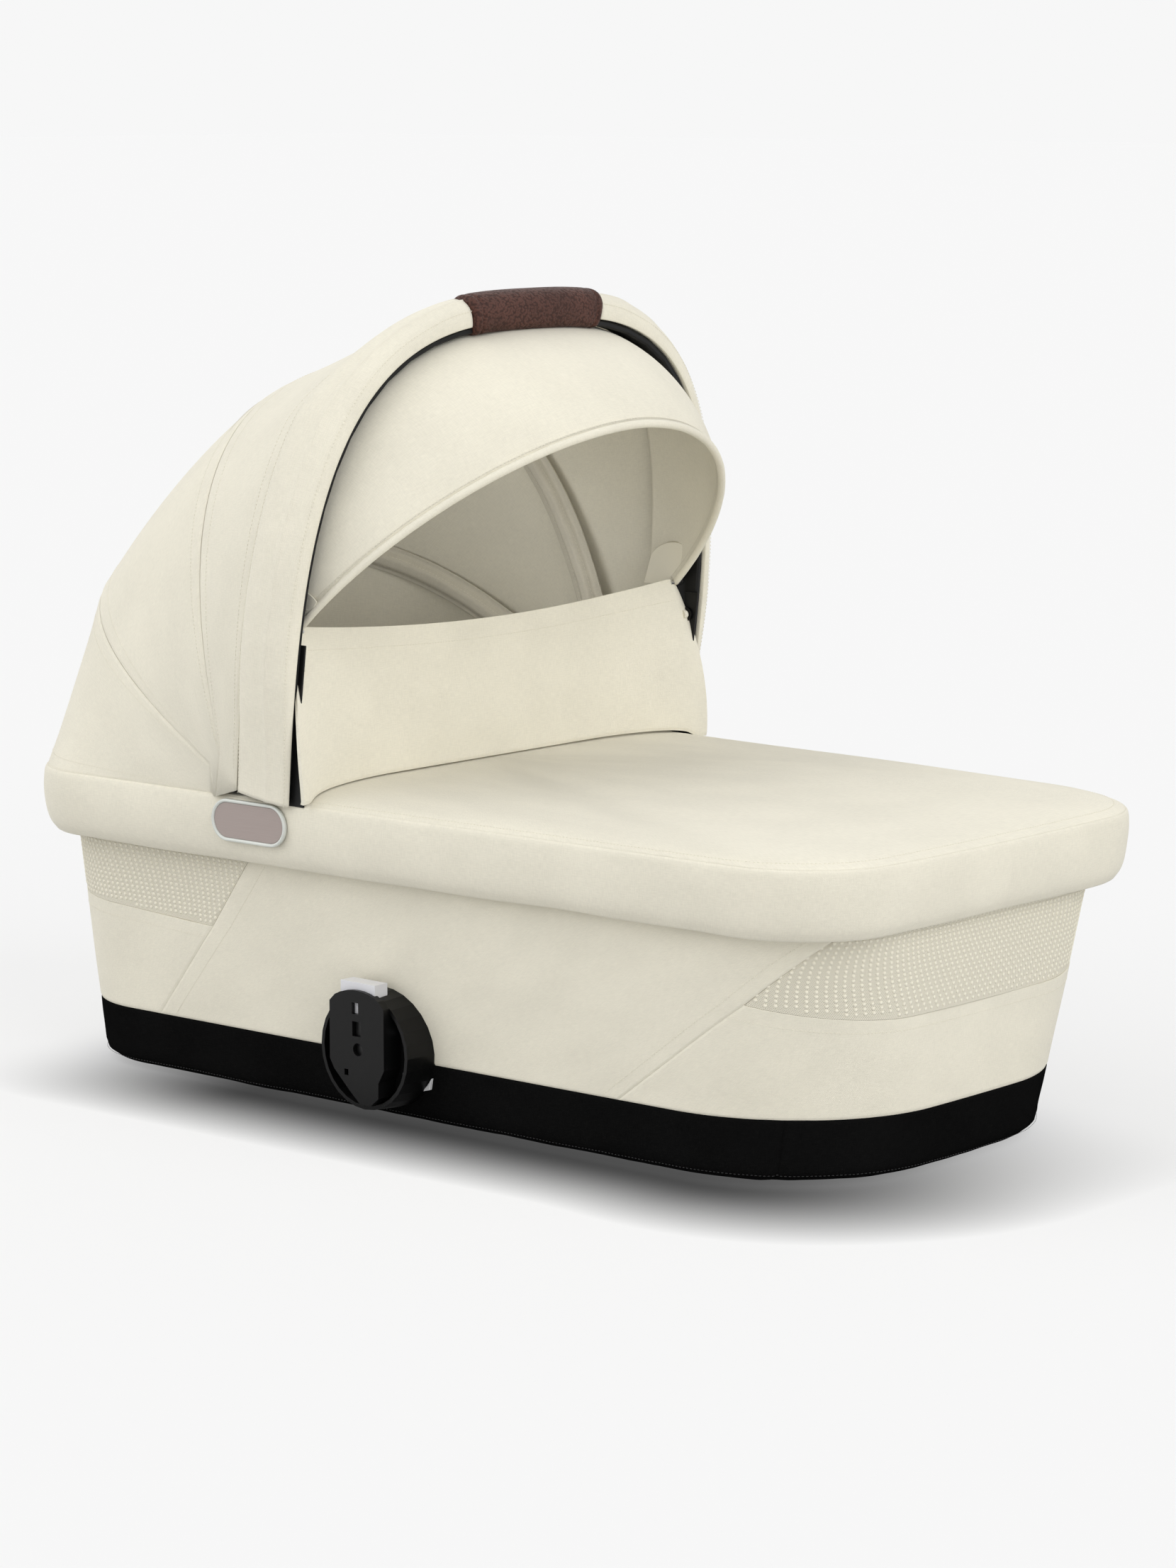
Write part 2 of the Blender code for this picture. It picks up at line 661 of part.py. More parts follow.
def build_body(parts, cutters):
    """Tub, boot, cover with its vents, lining, board and feet."""
    holes = [adapter_cone(cutters, "adapter_hole_" + name, side, GAP) for name, side in SIDES]

    tub_depth = BOOT_THICKNESS + GAP
    tub_rings = foot_rings(BOOT_EDGE_RADIUS - tub_depth)
    tub_rings += [wall_ring(z, tub_depth) for z in levels(WALL_FOOT, TUB_TOP, 2)[1:]]
    tub = add(parts, "base_tub", loft(tub_rings, cap_first=True), "black_plastic")
    thicken(tub, TUB_THICKNESS)

    flange = wall_ring(WALL_FOOT, BOOT_EDGE_RADIUS + BOOT_FLANGE)
    flange = [Vector((p.x, p.y, WALL_FOOT - BOOT_EDGE_RADIUS)) for p in flange]
    boot_rings = [flange] + foot_rings(BOOT_EDGE_RADIUS)
    boot_rings += [wall_ring(z, 0) for z in levels(WALL_FOOT, BOOT_TOP, 2)[1:]]
    boot = add(parts, "boot_band", loft(boot_rings), "black_fabric")
    thicken(boot, BOOT_THICKNESS)

    cover_levels = [BOOT_TOP + GAP, WALL_LEVELS[2][0], WALL_TOP, COVER_TOP]
    cover = add(parts, "side_cover", loft([wall_ring(z, 0) for z in cover_levels]), "cream_fabric")
    thicken(cover, COVER_THICKNESS)
    for body in (tub, boot, cover):
        for hole in holes:
            boolean(body, hole, "DIFFERENCE")

    vents = (
        ("foot", 1, FOOT_VENT_X, FOOT_VENT_SLOPE, VENT_BOTTOM, FOOT_VENT_END_X, FOOT_VENT_END_Z),
        ("head", -1, HEAD_VENT_X, HEAD_VENT_SLOPE, HEAD_VENT_BOTTOM, HEAD_VENT_END_X, HEAD_VENT_END_Z),
    )
    for end, way, x, slope, bottom, end_x, end_z in vents:
        beyond = way * (HALF_LENGTH + CUT_OVERRUN)
        window = []
        for margin in (0, GAP):
            low, high = bottom + margin, COVER_TOP + CUT_OVERRUN
            inward = way * margin * math.hypot(1, 1 / slope)
            x_low = x + (low - RIM_BOTTOM) / slope + inward
            x_high = x + (high - RIM_BOTTOM) / slope + inward
            outline_xz = [(x_low, low), (end_x, end_z + margin), (beyond, end_z + margin), (beyond, high),
                          (x_high, high)]
            shape = prism_y(outline_xz, -2 * HALF_WIDTH, 2 * HALF_WIDTH)
            window.append(as_cutter(cutters, "vent_window_%s_%d" % (end, len(window)), shape))
        boolean(cover, window[0], "DIFFERENCE")
        vent = add(parts, "vent_mesh_" + end, loft([wall_ring(z, 0) for z in cover_levels]), "cream_mesh")
        thicken(vent, VENT_THICKNESS)
        boolean(vent, window[1], "INTERSECT")

    board_z = WALL_FOOT - BOOT_EDGE_RADIUS + tub_depth + TUB_THICKNESS + GAP
    column_depth = tub_depth + TUB_THICKNESS + GAP
    lining_depth = column_depth + COLUMN_THICKNESS + GAP
    inner_depth = lining_depth + LINING_THICKNESS
    board_top = board_z + BOARD_THICKNESS
    board_rings = [wall_ring(z, BOOT_EDGE_RADIUS + GAP) for z in (board_z, board_top)]
    add(parts, "floor_board", closed_loft(board_rings), "board")

    lining_levels = [board_top + GAP] + [level[0] for level in WALL_LEVELS[1:]]
    lining_rings = [wall_ring(z, lining_depth) for z in lining_levels]
    lining_rings.append(rim_ring(HOOP_Z - HOOP_RADIUS, LINING_KNEE_INSET))
    lining_rings.append(rim_ring(LINING_TOP, LINING_TOP_INSET))
    lining = add(parts, "lining", loft(lining_rings), "lining_fabric")
    thicken(lining, LINING_THICKNESS)

    height = WALL_FOOT - BOOT_EDGE_RADIUS + tub_depth - GAP
    for end, x in (("head", -FOOT_PAD_X), ("foot", FOOT_PAD_X)):
        for name, side in SIDES:
            pad = bmesh.new()
            bmesh.ops.create_cone(
                pad, cap_ends=True, segments=ROUND_STEPS, radius1=FOOT_PAD_RADIUS - height,
                radius2=FOOT_PAD_RADIUS, depth=height,
                matrix=Matrix.Translation((x, side * FOOT_PAD_Y, height / 2)),
            )
            add(parts, "base_pad_%s_%s" % (end, name), pad, "rubber")
    return board_top + GAP, inner_depth


def build_mattress(parts, floor_z, inner_depth):
    """Crowned cushion with drawn-in sides and sewn channels across it."""
    flat = wall_ring(floor_z, inner_depth + 2 * GAP)
    upper = sorted((p.x, p.y) for p in flat if p.y > -GAP)
    head_x, foot_x = upper[0][0], upper[-1][0]

    def half_at(x):
        for (x0, y0), (x1, y1) in zip(upper, upper[1:]):
            if x <= x1:
                return mix(y0, y1, (x - x0) / (x1 - x0))
        return upper[-1][1]

    stations = []
    pitch = (foot_x - head_x) / (MATTRESS_CHANNELS + 1)
    for number in range(MATTRESS_CHANNELS):
        middle = head_x + pitch * (number + 1)
        for offset, share in ((-1, 0), (-0.4, 0.8), (0, 1), (0.4, 0.8), (1, 0)):
            stations.append((middle + offset * MATTRESS_CHANNEL_HALF, share))
    for number in range(MATTRESS_CHANNELS + 1):
        stations.append((head_x + pitch * (number + 0.5), -0.25))
    end_shares = ((0.002, 0.45), (0.010, 0.8), (0.030, 0.95))
    length = foot_x - head_x
    sections = [(head_x + length * share, 0, height) for share, height in end_shares]
    sections += [(foot_x - length * share, 0, height) for share, height in end_shares]
    sections += [(x, channel, 1) for x, channel in stations]
    # Each profile point: share of the half width, share of the side height, share of the crown
    profile = ((0, 0, 0), (0.80, 0, 0), (0.975, 0.06, 0), (1.0, 0.35, 0), (0.985, 0.70, 0), (0.94, 0.95, 0.05),
               (0.85, 1.0, 0.30), (0.62, 1.0, 0.75), (0.32, 1.0, 0.96), (0, 1.0, 1.0))
    rings = []
    for x, channel, height in sorted(sections):
        half = half_at(x)
        points = []
        for across, side, crown in profile:
            dip = MATTRESS_CHANNEL_DEPTH * channel * crown ** 0.5
            z = floor_z + height * (side * MATTRESS_SIDE + crown * MATTRESS_CROWN) - dip
            points.append(Vector((x, across * half, z)))
        mirrored = [Vector((p.x, -p.y, p.z)) for p in reversed(points[1:-1])]
        rings.append(points + mirrored)
    add(parts, "mattress", closed_loft(rings), "foam_cover", sharp=math.radians(60))


def band_rings():
    tuck = wall_ring(RIM_BOTTOM - BAND_THICKNESS / 2, -6 * GAP)
    lines = ((RIM_BOTTOM, RIM_BOTTOM_INSET), (RIM_TURN, RIM_TURN_INSET), (RIM_BELLY, 0),
             (RIM_SHOULDER, RIM_SHOULDER_INSET), (RIM_TOP, RIM_TOP_INSET))
    return [tuck] + [rim_ring(z, inset) for z, inset in lines]


def crown_share(share):
    """Rise of the apron at a share of the way out to its edge, as a share of its crown."""
    for (outer, low), (inner, high) in zip(APRON_PROFILE, APRON_PROFILE[1:]):
        if share >= inner:
            return mix(high, low, (share - inner) / (outer - inner))
    return 1


def build_rim(parts, cutters):
    """Hoop, padded band of the head half, and apron with its skirt over the foot half."""
    hoop = bpy.data.curves.new("rim_hoop", "CURVE")
    hoop.dimensions = "3D"
    hoop.bevel_depth = HOOP_RADIUS
    hoop.bevel_resolution = 2
    line = hoop.splines.new("POLY")
    path = rim_ring(HOOP_Z, HOOP_INSET)
    line.points.add(len(path) - 1)
    for spot, point in zip(line.points, path):
        spot.co = (*point, 1)
    line.use_cyclic_u = True
    made = bpy.data.objects.new("rim_hoop", hoop)
    hoop.materials.append(finish_material("rim_hoop", "aluminium"))
    parts.objects.link(made)

    lip = [rim_ring(RIM_LIP_Z, RIM_LIP_INSET), rim_ring(RIM_LIP_EDGE_Z, RIM_LIP_EDGE_INSET)]
    skin = loft(band_rings() + lip)
    cut_off(skin, BAND_REAR_X - GAP, keep_foot_side=False)
    band = add(parts, "rim_band", skin, "cream_fabric")
    thicken(band, BAND_THICKNESS)
    for name, side in SIDES:
        half = HUB_FOOT_HALF + 2 * GAP
        slot = box((PIVOT_X - half, side * HUB_PLATE_IN * 0.9, HOOP_Z + HOOP_RADIUS),
                   (PIVOT_X + half, side * (side_y(PIVOT_X, RIM_TOP_INSET) - BAND_THICKNESS), PIVOT_Z))
        boolean(band, as_cutter(cutters, "band_slot_" + name, slot), "DIFFERENCE")

    top = rim_ring(RIM_TOP, RIM_TOP_INSET)
    rings = band_rings()
    for shrink, rise in APRON_PROFILE[1:]:
        rings.append([Vector((p.x * shrink, p.y * shrink, RIM_TOP + APRON_CROWN * rise)) for p in top])
    cover = loft(rings, cap_last=True)
    cut_off(cover, BAND_REAR_X, keep_foot_side=True)
    thicken(add(parts, "apron", cover, "cream_fabric"), BAND_THICKNESS)


def flap_point(across, rise):
    """Point of the flap's front face: across from -1 to 1, rise from 0 at the hinge to 1 at the top."""
    half = mix(FLAP_HALF_BASE, FLAP_HALF_TOP, min(1, rise / FLAP_NARROW_SHARE))
    y = across * half
    bend = max(0, abs(y) - FLAP_BEND_START) / (half - FLAP_BEND_START)
    base_x = mix(FLAP_MIDDLE_X, FLAP_HINGE_X, bend ** 1.6)
    top_x = mix(FLAP_TOP_X, FLAP_END_TOP_X, bend ** 1.6)
    corner = max(0, abs(across) - FLAP_CORNER_SHARE) / (1 - FLAP_CORNER_SHARE)
    top_z = mix(FLAP_MIDDLE_TOP, FLAP_END_TOP, across * across) - FLAP_CORNER_DROP * corner
    edge_share = abs(y) / side_y(base_x, RIM_TOP_INSET)
    foot_z = RIM_TOP + APRON_CROWN * crown_share(edge_share) + FLAP_CLEARANCE
    return Vector((mix(base_x, top_x, rise ** 0.8), y, mix(foot_z, top_z, rise)))


def build_flap(parts, cutters):
    """Wind flap that stands on the apron's rear edge, with a popper cap at each end."""
    rows = []
    stations = sorted(levels(-1, 1, 18) + [-FLAP_EDGE_SHARE, FLAP_EDGE_SHARE])
    for rise in levels(0, 1, 5):
        rows.append([flap_point(across, rise) for across in stations])
    inner = [[p - Vector((FLAP_THICKNESS, 0, 0)) for p in row] for row in rows]
    flap = add(parts, "wind_flap", sheet_between(rows, inner), "cream_fabric")
    x, face_y = popper_place()
    for name, side in SIDES:
        tab_out = face_y - 2 * POPPER_THICKNESS - 2 * GAP
        tab = box((x - POPPER_RADIUS, side * (FLAP_HALF_TOP - FLAP_THICKNESS), POPPER_Z - POPPER_RADIUS),
                  (x + POPPER_RADIUS, side * tab_out, POPPER_Z + POPPER_RADIUS))
        boolean(flap, as_cutter(cutters, "flap_tab_" + name, tab), "UNION")
        cap = cylinder_y(x, POPPER_Z, POPPER_RADIUS, side * (tab_out + GAP),
                         side * (tab_out + GAP + POPPER_THICKNESS), PIN_STEPS)
        add(parts, "popper_socket_" + name, cap, "steel")


def handle_frames():
    path = arch(HANDLE_X, HANDLE_Z, HANDLE_ANGLE, HANDLE_HALF, HANDLE_REACH, HANDLE_SQUARE,
                splay=HANDLE_SPLAY, start=HANDLE_FOOT_Z - HANDLE_Z, steps=HANDLE_STEPS)
    return frames(path, HANDLE_ANGLE)


def handle_size(z):
    """Width of the sleeve, its thickness and width of the core at a height."""
    for lower, upper in zip(HANDLE_STATIONS, HANDLE_STATIONS[1:]):
        if z <= upper[0] or upper is HANDLE_STATIONS[-1]:
            share = min(1, max(0, (z - lower[0]) / (upper[0] - lower[0])))
            eased = share * share * (3 - 2 * share)
            return [mix(a, b, eased) for a, b in zip(lower[1:], upper[1:])]


def handle_at(z):
    """Frame of the handle's left leg at a height."""
    leg = [f for f in handle_frames() if f[0].y < 0]
    for lower, upper in zip(leg, leg[1:]):
        if z <= upper[0].z:
            share = (z - lower[0].z) / (upper[0].z - lower[0].z)
            return tuple(p.lerp(q, share) for p, q in zip(lower, upper))


def core_face_y(z):
    """Distance from the middle to the inner face of the handle's core at a height."""
    return abs(along([handle_at(z)], 0, -CORE_THICKNESS - GAP)[0].y)


def popper_place():
    """Place of the popper along X, and of the core's face it sits on."""
    x = handle_at(POPPER_Z)[0].x - CORE_MARGIN - POPPER_RADIUS
    return x, core_face_y(POPPER_Z) - 2 * GAP


def clip_at(placed, reach):
    """Part of the arch within this distance of the middle, cut cleanly at both ends."""
    kept = [i for i, f in enumerate(placed) if abs(f[0].y) < reach]
    ends = []
    for inside, outside in ((kept[0], kept[0] - 1), (kept[-1], kept[-1] + 1)):
        a, b = placed[inside], placed[outside]
        share = (reach - abs(a[0].y)) / (abs(b[0].y) - abs(a[0].y))
        ends.append(tuple(p.lerp(q, share) for p, q in zip(a, b)))
    return [ends[0]] + [placed[i] for i in kept] + [ends[1]]


def build_handle(parts, cutters):
    """Black inner arch with its pivot lugs, cream sleeve on each leg and a leather grip on top."""
    placed = handle_frames()
    core_outer = -GAP
    core_inner = -CORE_THICKNESS - GAP
    core_rings = []
    for frame in placed:
        core_rear = -CORE_MARGIN - handle_size(frame[0].z)[2]
        section = rounded(core_rear, -CORE_MARGIN, core_inner, core_outer, CORE_THICKNESS / 4, steps=1)
        core_rings.append([along([frame], b, n)[0] for b, n in section])
    core = add(parts, "handle_core", closed_loft(core_rings), "black_plastic")
    outer_y = abs(placed[0][0].y) - LUG_SET_IN
    inner_y = outer_y - LUG_THICKNESS
    for name, side in SIDES:
        lug = cylinder_y(PIVOT_X, PIVOT_Z, LUG_RADIUS, side * inner_y, side * outer_y)
        arm_low = (PIVOT_X, side * inner_y, HANDLE_FOOT_Z + 4 * GAP)
        arm_high = (HANDLE_X - HANDLE_WIDTH / 2, side * outer_y, PIVOT_Z + LUG_RADIUS * 0.75)
        boolean(core, as_cutter(cutters, "core_lug_" + name, lug), "UNION")
        boolean(core, as_cutter(cutters, "core_arm_" + name, box(arm_low, arm_high)), "UNION")
        bore = cylinder_y(PIVOT_X, PIVOT_Z, PIN_RADIUS + PIN_CLEARANCE,
                          side * (inner_y - CUT_OVERRUN), side * (outer_y + CUT_OVERRUN), PIN_STEPS)
        boolean(core, as_cutter(cutters, "core_bore_" + name, bore), "DIFFERENCE")

    grip_gap = 2 * GAP
    top = clip_at(placed, GRIP_HALF)
    wide = clip_at(placed, GRIP_HALF + grip_gap)
    for name, side in SIDES:
        leg = [f for f in placed if side * f[0].y > GRIP_HALF + grip_gap]
        leg = [wide[-1]] + leg if side > 0 else leg + [wide[0]]
        rings = []
        for point, across, outward in leg:
            width, thickness, _ = handle_size(point.z)
            rings.append([point - across * (b * width) + outward * (n * thickness) for b, n in SLEEVE_SECTION])
        add(parts, "handle_sleeve_" + name, closed_loft(rings), "cream_fabric")

    half_width = (GRIP_FRONT + GRIP_REAR) / 2
    outer = []
    for turn in levels(0, 2 * math.pi, 4 * 4)[:-1]:
        upper = math.sin(turn) >= 0
        square = 2 / (GRIP_TOP_SQUARE if upper else GRIP_BOTTOM_SQUARE)
        half_height = GRIP_TOP - GRIP_MIDDLE if upper else GRIP_BOTTOM + GRIP_MIDDLE
        b = math.copysign(abs(math.cos(turn)) ** square, math.cos(turn)) * half_width
        n = math.copysign(abs(math.sin(turn)) ** square, math.sin(turn)) * half_height
        outer.append((b + (GRIP_FRONT - GRIP_REAR) / 2, n + GRIP_MIDDLE))
    hole_rear = -CORE_MARGIN - handle_size(top[0][0].z)[2] - GAP
    hole = rounded(hole_rear, GAP - CORE_MARGIN, core_inner - GAP, GAP, CORE_THICKNESS / 8)
    add(parts, "grip", sleeve_sweep(top, outer, hole), "leather")

    x, face_y = popper_place()
    for name, side in SIDES:
        stud = cylinder_y(x, POPPER_Z, POPPER_RADIUS, side * (face_y - POPPER_THICKNESS), side * face_y, PIN_STEPS)
        add(parts, "popper_stud_" + name, stud, "steel")


def build_bow(parts, cutters, name, angle, half, reach, square, splay):
    """Flat spring-steel bow with an eye at each end for the pivot pin."""
    placed = frames(arch(PIVOT_X, PIVOT_Z, angle, half, reach, square, splay=splay), angle)
    section = rounded(-BOW_WIDTH / 2, BOW_WIDTH / 2, -BOW_THICKNESS / 2, BOW_THICKNESS / 2,
                      BOW_THICKNESS / 4, steps=1)
    bow = add(parts, name, sweep(placed, section), "steel")
    for side_name, side in SIDES:
        low, high = side * (half - EYE_THICKNESS / 2), side * (half + EYE_THICKNESS / 2)
        eye = cylinder_y(PIVOT_X, PIVOT_Z, EYE_RADIUS, low, high)
        boolean(bow, as_cutter(cutters, name + "_eye_" + side_name, eye), "UNION")
        bore = cylinder_y(PIVOT_X, PIVOT_Z, PIN_RADIUS + PIN_CLEARANCE,
                          low - side * CUT_OVERRUN, high + side * CUT_OVERRUN, PIN_STEPS)
        boolean(bow, as_cutter(cutters, name + "_bore_" + side_name, bore), "DIFFERENCE")


def build_hubs(parts, cutters):
    """Bracket on the rim hoop and pivot pin, on each side."""
    for name, side in SIDES:
        plate_in = HUB_PLATE_IN
        plate_out = REAR_BOW_HALF - EYE_THICKNESS / 2 - GAP
        saddle_z = HOOP_Z + HOOP_RADIUS + GAP
        foot_half = HUB_FOOT_HALF
        outline_xz = [
            (PIVOT_X - foot_half, saddle_z), (PIVOT_X + foot_half, saddle_z),
            (PIVOT_X + foot_half, saddle_z + BOW_THICKNESS), (PIVOT_X + EYE_RADIUS, PIVOT_Z),
        ]
        outline_xz += [
            (PIVOT_X + EYE_RADIUS * math.cos(a), PIVOT_Z + EYE_RADIUS * math.sin(a))
            for a in levels(0, math.pi, 8)[1:]
        ]
        outline_xz.append((PIVOT_X - foot_half, saddle_z + BOW_THICKNESS))
        bracket = add(parts, "hub_bracket_" + name,
                      prism_y(outline_xz, side * plate_in, side * plate_out), "black_plastic")
        saddle_out = side_y(PIVOT_X, HOOP_INSET)
        saddle = box((PIVOT_X - foot_half, side * (plate_out - GAP), saddle_z),
                     (PIVOT_X + foot_half, side * saddle_out, saddle_z + BOW_THICKNESS))
        boolean(bracket, as_cutter(cutters, "hub_saddle_" + name, saddle), "UNION")
        bore = cylinder_y(PIVOT_X, PIVOT_Z, PIN_RADIUS + PIN_CLEARANCE,
                          side * (plate_in - CUT_OVERRUN), side * (plate_out + CUT_OVERRUN), PIN_STEPS)
        boolean(bracket, as_cutter(cutters, "hub_bore_" + name, bore), "DIFFERENCE")

        head_y = abs(handle_frames()[0][0].y) - LUG_SET_IN + GAP + PIN_HEAD_THICKNESS
        tail_y = plate_in - GAP
        pin = add(parts, "pivot_pin_" + name,
                  cylinder_y(PIVOT_X, PIVOT_Z, PIN_RADIUS, side * (tail_y - PIN_HEAD_THICKNESS / 2),
                             side * (head_y - PIN_HEAD_THICKNESS / 2), PIN_STEPS), "steel")
        for label, from_y in (("head", head_y - PIN_HEAD_THICKNESS), ("tail", tail_y - PIN_HEAD_THICKNESS)):
            cap = cylinder_y(PIVOT_X, PIVOT_Z, 2 * PIN_RADIUS, side * from_y,
                             side * (from_y + PIN_HEAD_THICKNESS), PIN_STEPS)
            boolean(pin, as_cutter(cutters, "pin_%s_%s" % (label, name), cap), "UNION")


def build_columns(parts, cutters):
    """Moulded side column from the adapter up to the rim hoop, behind the cover, with a saddle on top."""
    depth = BOOT_THICKNESS + TUB_THICKNESS + 2 * GAP
    top_z = HOOP_Z - HOOP_RADIUS - GAP
    body_top = top_z - COLUMN_HEAD_HEIGHT / 2
    knees = [level[0] for level in WALL_LEVELS[1:]]
    middle_levels = sorted(knees + [mix(a, b, 0.5) for a, b in zip(knees, knees[1:])])
    for name, side in SIDES:
        rings = []
        for z in [WALL_FOOT + 2 * GAP] + middle_levels + [body_top]:
            share = (z - WALL_FOOT) / (body_top - WALL_FOOT)
            middle = mix(ADAPTER_X, PIVOT_X, share ** 2)
            half = mix(COLUMN_FOOT_WIDTH, COLUMN_TOP_WIDTH, share) / 2
            at = min(z, WALL_TOP)
            outer = [Vector((x, side * wall_y(x, at, depth), z)) for x in (middle - half, middle + half)]
            inner = []
            for x in (middle + half, middle - half):
                inner_y = wall_y(x, z, depth + COLUMN_THICKNESS) if z <= WALL_TOP else side_y(x, COLUMN_HEAD_IN)
                inner.append(Vector((x, side * inner_y, z)))
            rings.append(outer + inner)
        column = add(parts, "side_column_" + name, closed_loft(rings), "black_plastic")
        half = COLUMN_TOP_WIDTH / 2
        head = closed_loft([
            [Vector((x, side * side_y(x, inset), z)) for x, inset in (
                (PIVOT_X - half, COLUMN_HEAD_OUT), (PIVOT_X + half, COLUMN_HEAD_OUT),
                (PIVOT_X + half, COLUMN_HEAD_IN), (PIVOT_X - half, COLUMN_HEAD_IN))]
            for z in (top_z - COLUMN_HEAD_HEIGHT, top_z)
        ])
        boolean(column, as_cutter(cutters, "column_head_" + name, head), "UNION")


def plate_outline():
    """Outline of the adapter plate in X and Z."""
    points = list(PLATE_LOWER_EDGE)
    for share in levels(0, 1, 10):
        arc = math.sin(math.pi * share) ** 0.6
        points.append((mix(PLATE_FOOT_SIDE, -PLATE_HEAD_SIDE, share), mix(PLATE_SHOULDER, PLATE_TOP, arc)))
    return [(ADAPTER_X + x, ADAPTER_Z + z) for x, z in points]


def tube_y(x, z, inner, outer, y_from, y_to):
    """Ring-shaped solid along Y."""
    rings = []
    for radius, y in ((outer, y_from), (outer, y_to), (inner, y_to), (inner, y_from)):
        turns = levels(0, 2 * math.pi, ROUND_STEPS)[:-1]
        rings.append([Vector((x + radius * math.cos(t), y, z + radius * math.sin(t))) for t in turns])
    shape = loft(rings + rings[:1])
    bmesh.ops.remove_doubles(shape, verts=shape.verts, dist=GAP / 10)
    bmesh.ops.recalc_face_normals(shape, faces=shape.faces)
    return shape


def adapter_box(side, x_low, x_high, y_low, y_high, z_low, z_high):
    return box((ADAPTER_X + x_low, side * y_low, ADAPTER_Z + z_low),
               (ADAPTER_X + x_high, side * y_high, ADAPTER_Z + z_high))


def build_adapters(parts, cutters):
    """Tapered housing with a pocket, slotted plate, sprung release slider and screws, on each side."""
    pocket_y = HOUSING_FRONT_Y - POCKET_DEPTH
    plate_back = pocket_y + GAP
    plate_front = HOUSING_FRONT_Y + PLATE_PROUD
    channel_front = plate_front - PLATE_WALL
    slide_gap = 2 * GAP
    column_face = BOOT_THICKNESS + TUB_THICKNESS + GAP
    for name, side in SIDES:
        housing = add(parts, "adapter_housing_" + name, cylinder_y(
            ADAPTER_X, ADAPTER_Z, HOUSING_BACK_RADIUS, side * HOUSING_BACK_Y, side * HOUSING_FRONT_Y,
            radius_to=HOUSING_FRONT_RADIUS), "black_plastic")
        core_rings = [wall_ring(z, column_face) for z in (-WALL_FOOT, *(level[0] for level in WALL_LEVELS))]
        boolean(housing, as_cutter(cutters, "housing_back_" + name, closed_loft(core_rings)), "DIFFERENCE")
        pocket = cylinder_y(ADAPTER_X, ADAPTER_Z, HOUSING_FRONT_RADIUS - HOUSING_LIP,
                            side * pocket_y, side * (HOUSING_FRONT_Y + CUT_OVERRUN))
        boolean(housing, as_cutter(cutters, "housing_pocket_" + name, pocket), "DIFFERENCE")
        pad_low, pad_high = PAD_X - PAD_HALF, PAD_X + PAD_HALF
        notch = adapter_box(side, pad_low - slide_gap, pad_high + slide_gap, pocket_y,
                            HOUSING_FRONT_Y + CUT_OVERRUN, 0, PAD_TOP + CUT_OVERRUN)
        boolean(housing, as_cutter(cutters, "housing_notch_" + name, notch), "DIFFERENCE")

        plate = add(parts, "adapter_plate_" + name,
                    prism_y(plate_outline(), side * plate_back, side * plate_front), "black_plastic")
        round_off = tube_y(ADAPTER_X, ADAPTER_Z, HOUSING_FRONT_RADIUS - HOUSING_LIP - GAP,
                           2 * HOUSING_FRONT_RADIUS, side * pocket_y, side * (HOUSING_FRONT_Y + GAP))
        boolean(plate, as_cutter(cutters, "plate_round_" + name, round_off), "DIFFERENCE")
        tongue_low, tongue_high = CHANNEL_X - CHANNEL_HALF, CHANNEL_X + CHANNEL_HALF
        channel = adapter_box(side, tongue_low - slide_gap, tongue_high + slide_gap,
                              plate_back - CUT_OVERRUN, channel_front, CHANNEL_BOTTOM, PLATE_TOP + CUT_OVERRUN)
        mouth = adapter_box(side, pad_low - slide_gap, pad_high + slide_gap, plate_back - CUT_OVERRUN,
                            channel_front, PAD_BOTTOM - BUTTON_TRAVEL - slide_gap, PLATE_TOP + CUT_OVERRUN)
        boolean(plate, as_cutter(cutters, "plate_channel_" + name, channel), "DIFFERENCE")
        boolean(plate, as_cutter(cutters, "plate_mouth_" + name, mouth), "DIFFERENCE")
        for number, (x, z, half_x, half_z) in enumerate(PLATE_SLOTS):
            slot = adapter_box(side, x - half_x, x + half_x, plate_back - CUT_OVERRUN,
                               plate_front + CUT_OVERRUN, z - half_z, z + half_z)
            boolean(plate, as_cutter(cutters, "plate_slot_%s_%d" % (name, number), slot), "DIFFERENCE")
        keyhole = cylinder_y(ADAPTER_X + KEYHOLE_X, ADAPTER_Z + KEYHOLE_Z, KEYHOLE_RADIUS,
                             side * (plate_back - CUT_OVERRUN), side * (plate_front + CUT_OVERRUN), PIN_STEPS)
        boolean(plate, as_cutter(cutters, "plate_keyhole_" + name, keyhole), "DIFFERENCE")

        tongue_front = channel_front - slide_gap
        tongue_back = tongue_front - 2 * PLATE_WALL
        button = add(parts, "release_button_" + name, adapter_box(
            side, tongue_low, tongue_high, tongue_back, tongue_front, TONGUE_BOTTOM, PAD_BOTTOM + slide_gap),
            "grey_plastic")
        pad = adapter_box(side, pad_low, pad_high, plate_back + slide_gap,
                          tongue_front - PAD_FRONT_SET_BACK + 2 * PLATE_WALL / 2, PAD_BOTTOM, PAD_TOP)
        boolean(button, as_cutter(cutters, "button_pad_" + name, pad), "UNION")
        step = button.modifiers.new("Edges", "BEVEL")
        step.width = PLATE_WALL / 3
        step.segments = 2
        step.limit_method = "ANGLE"

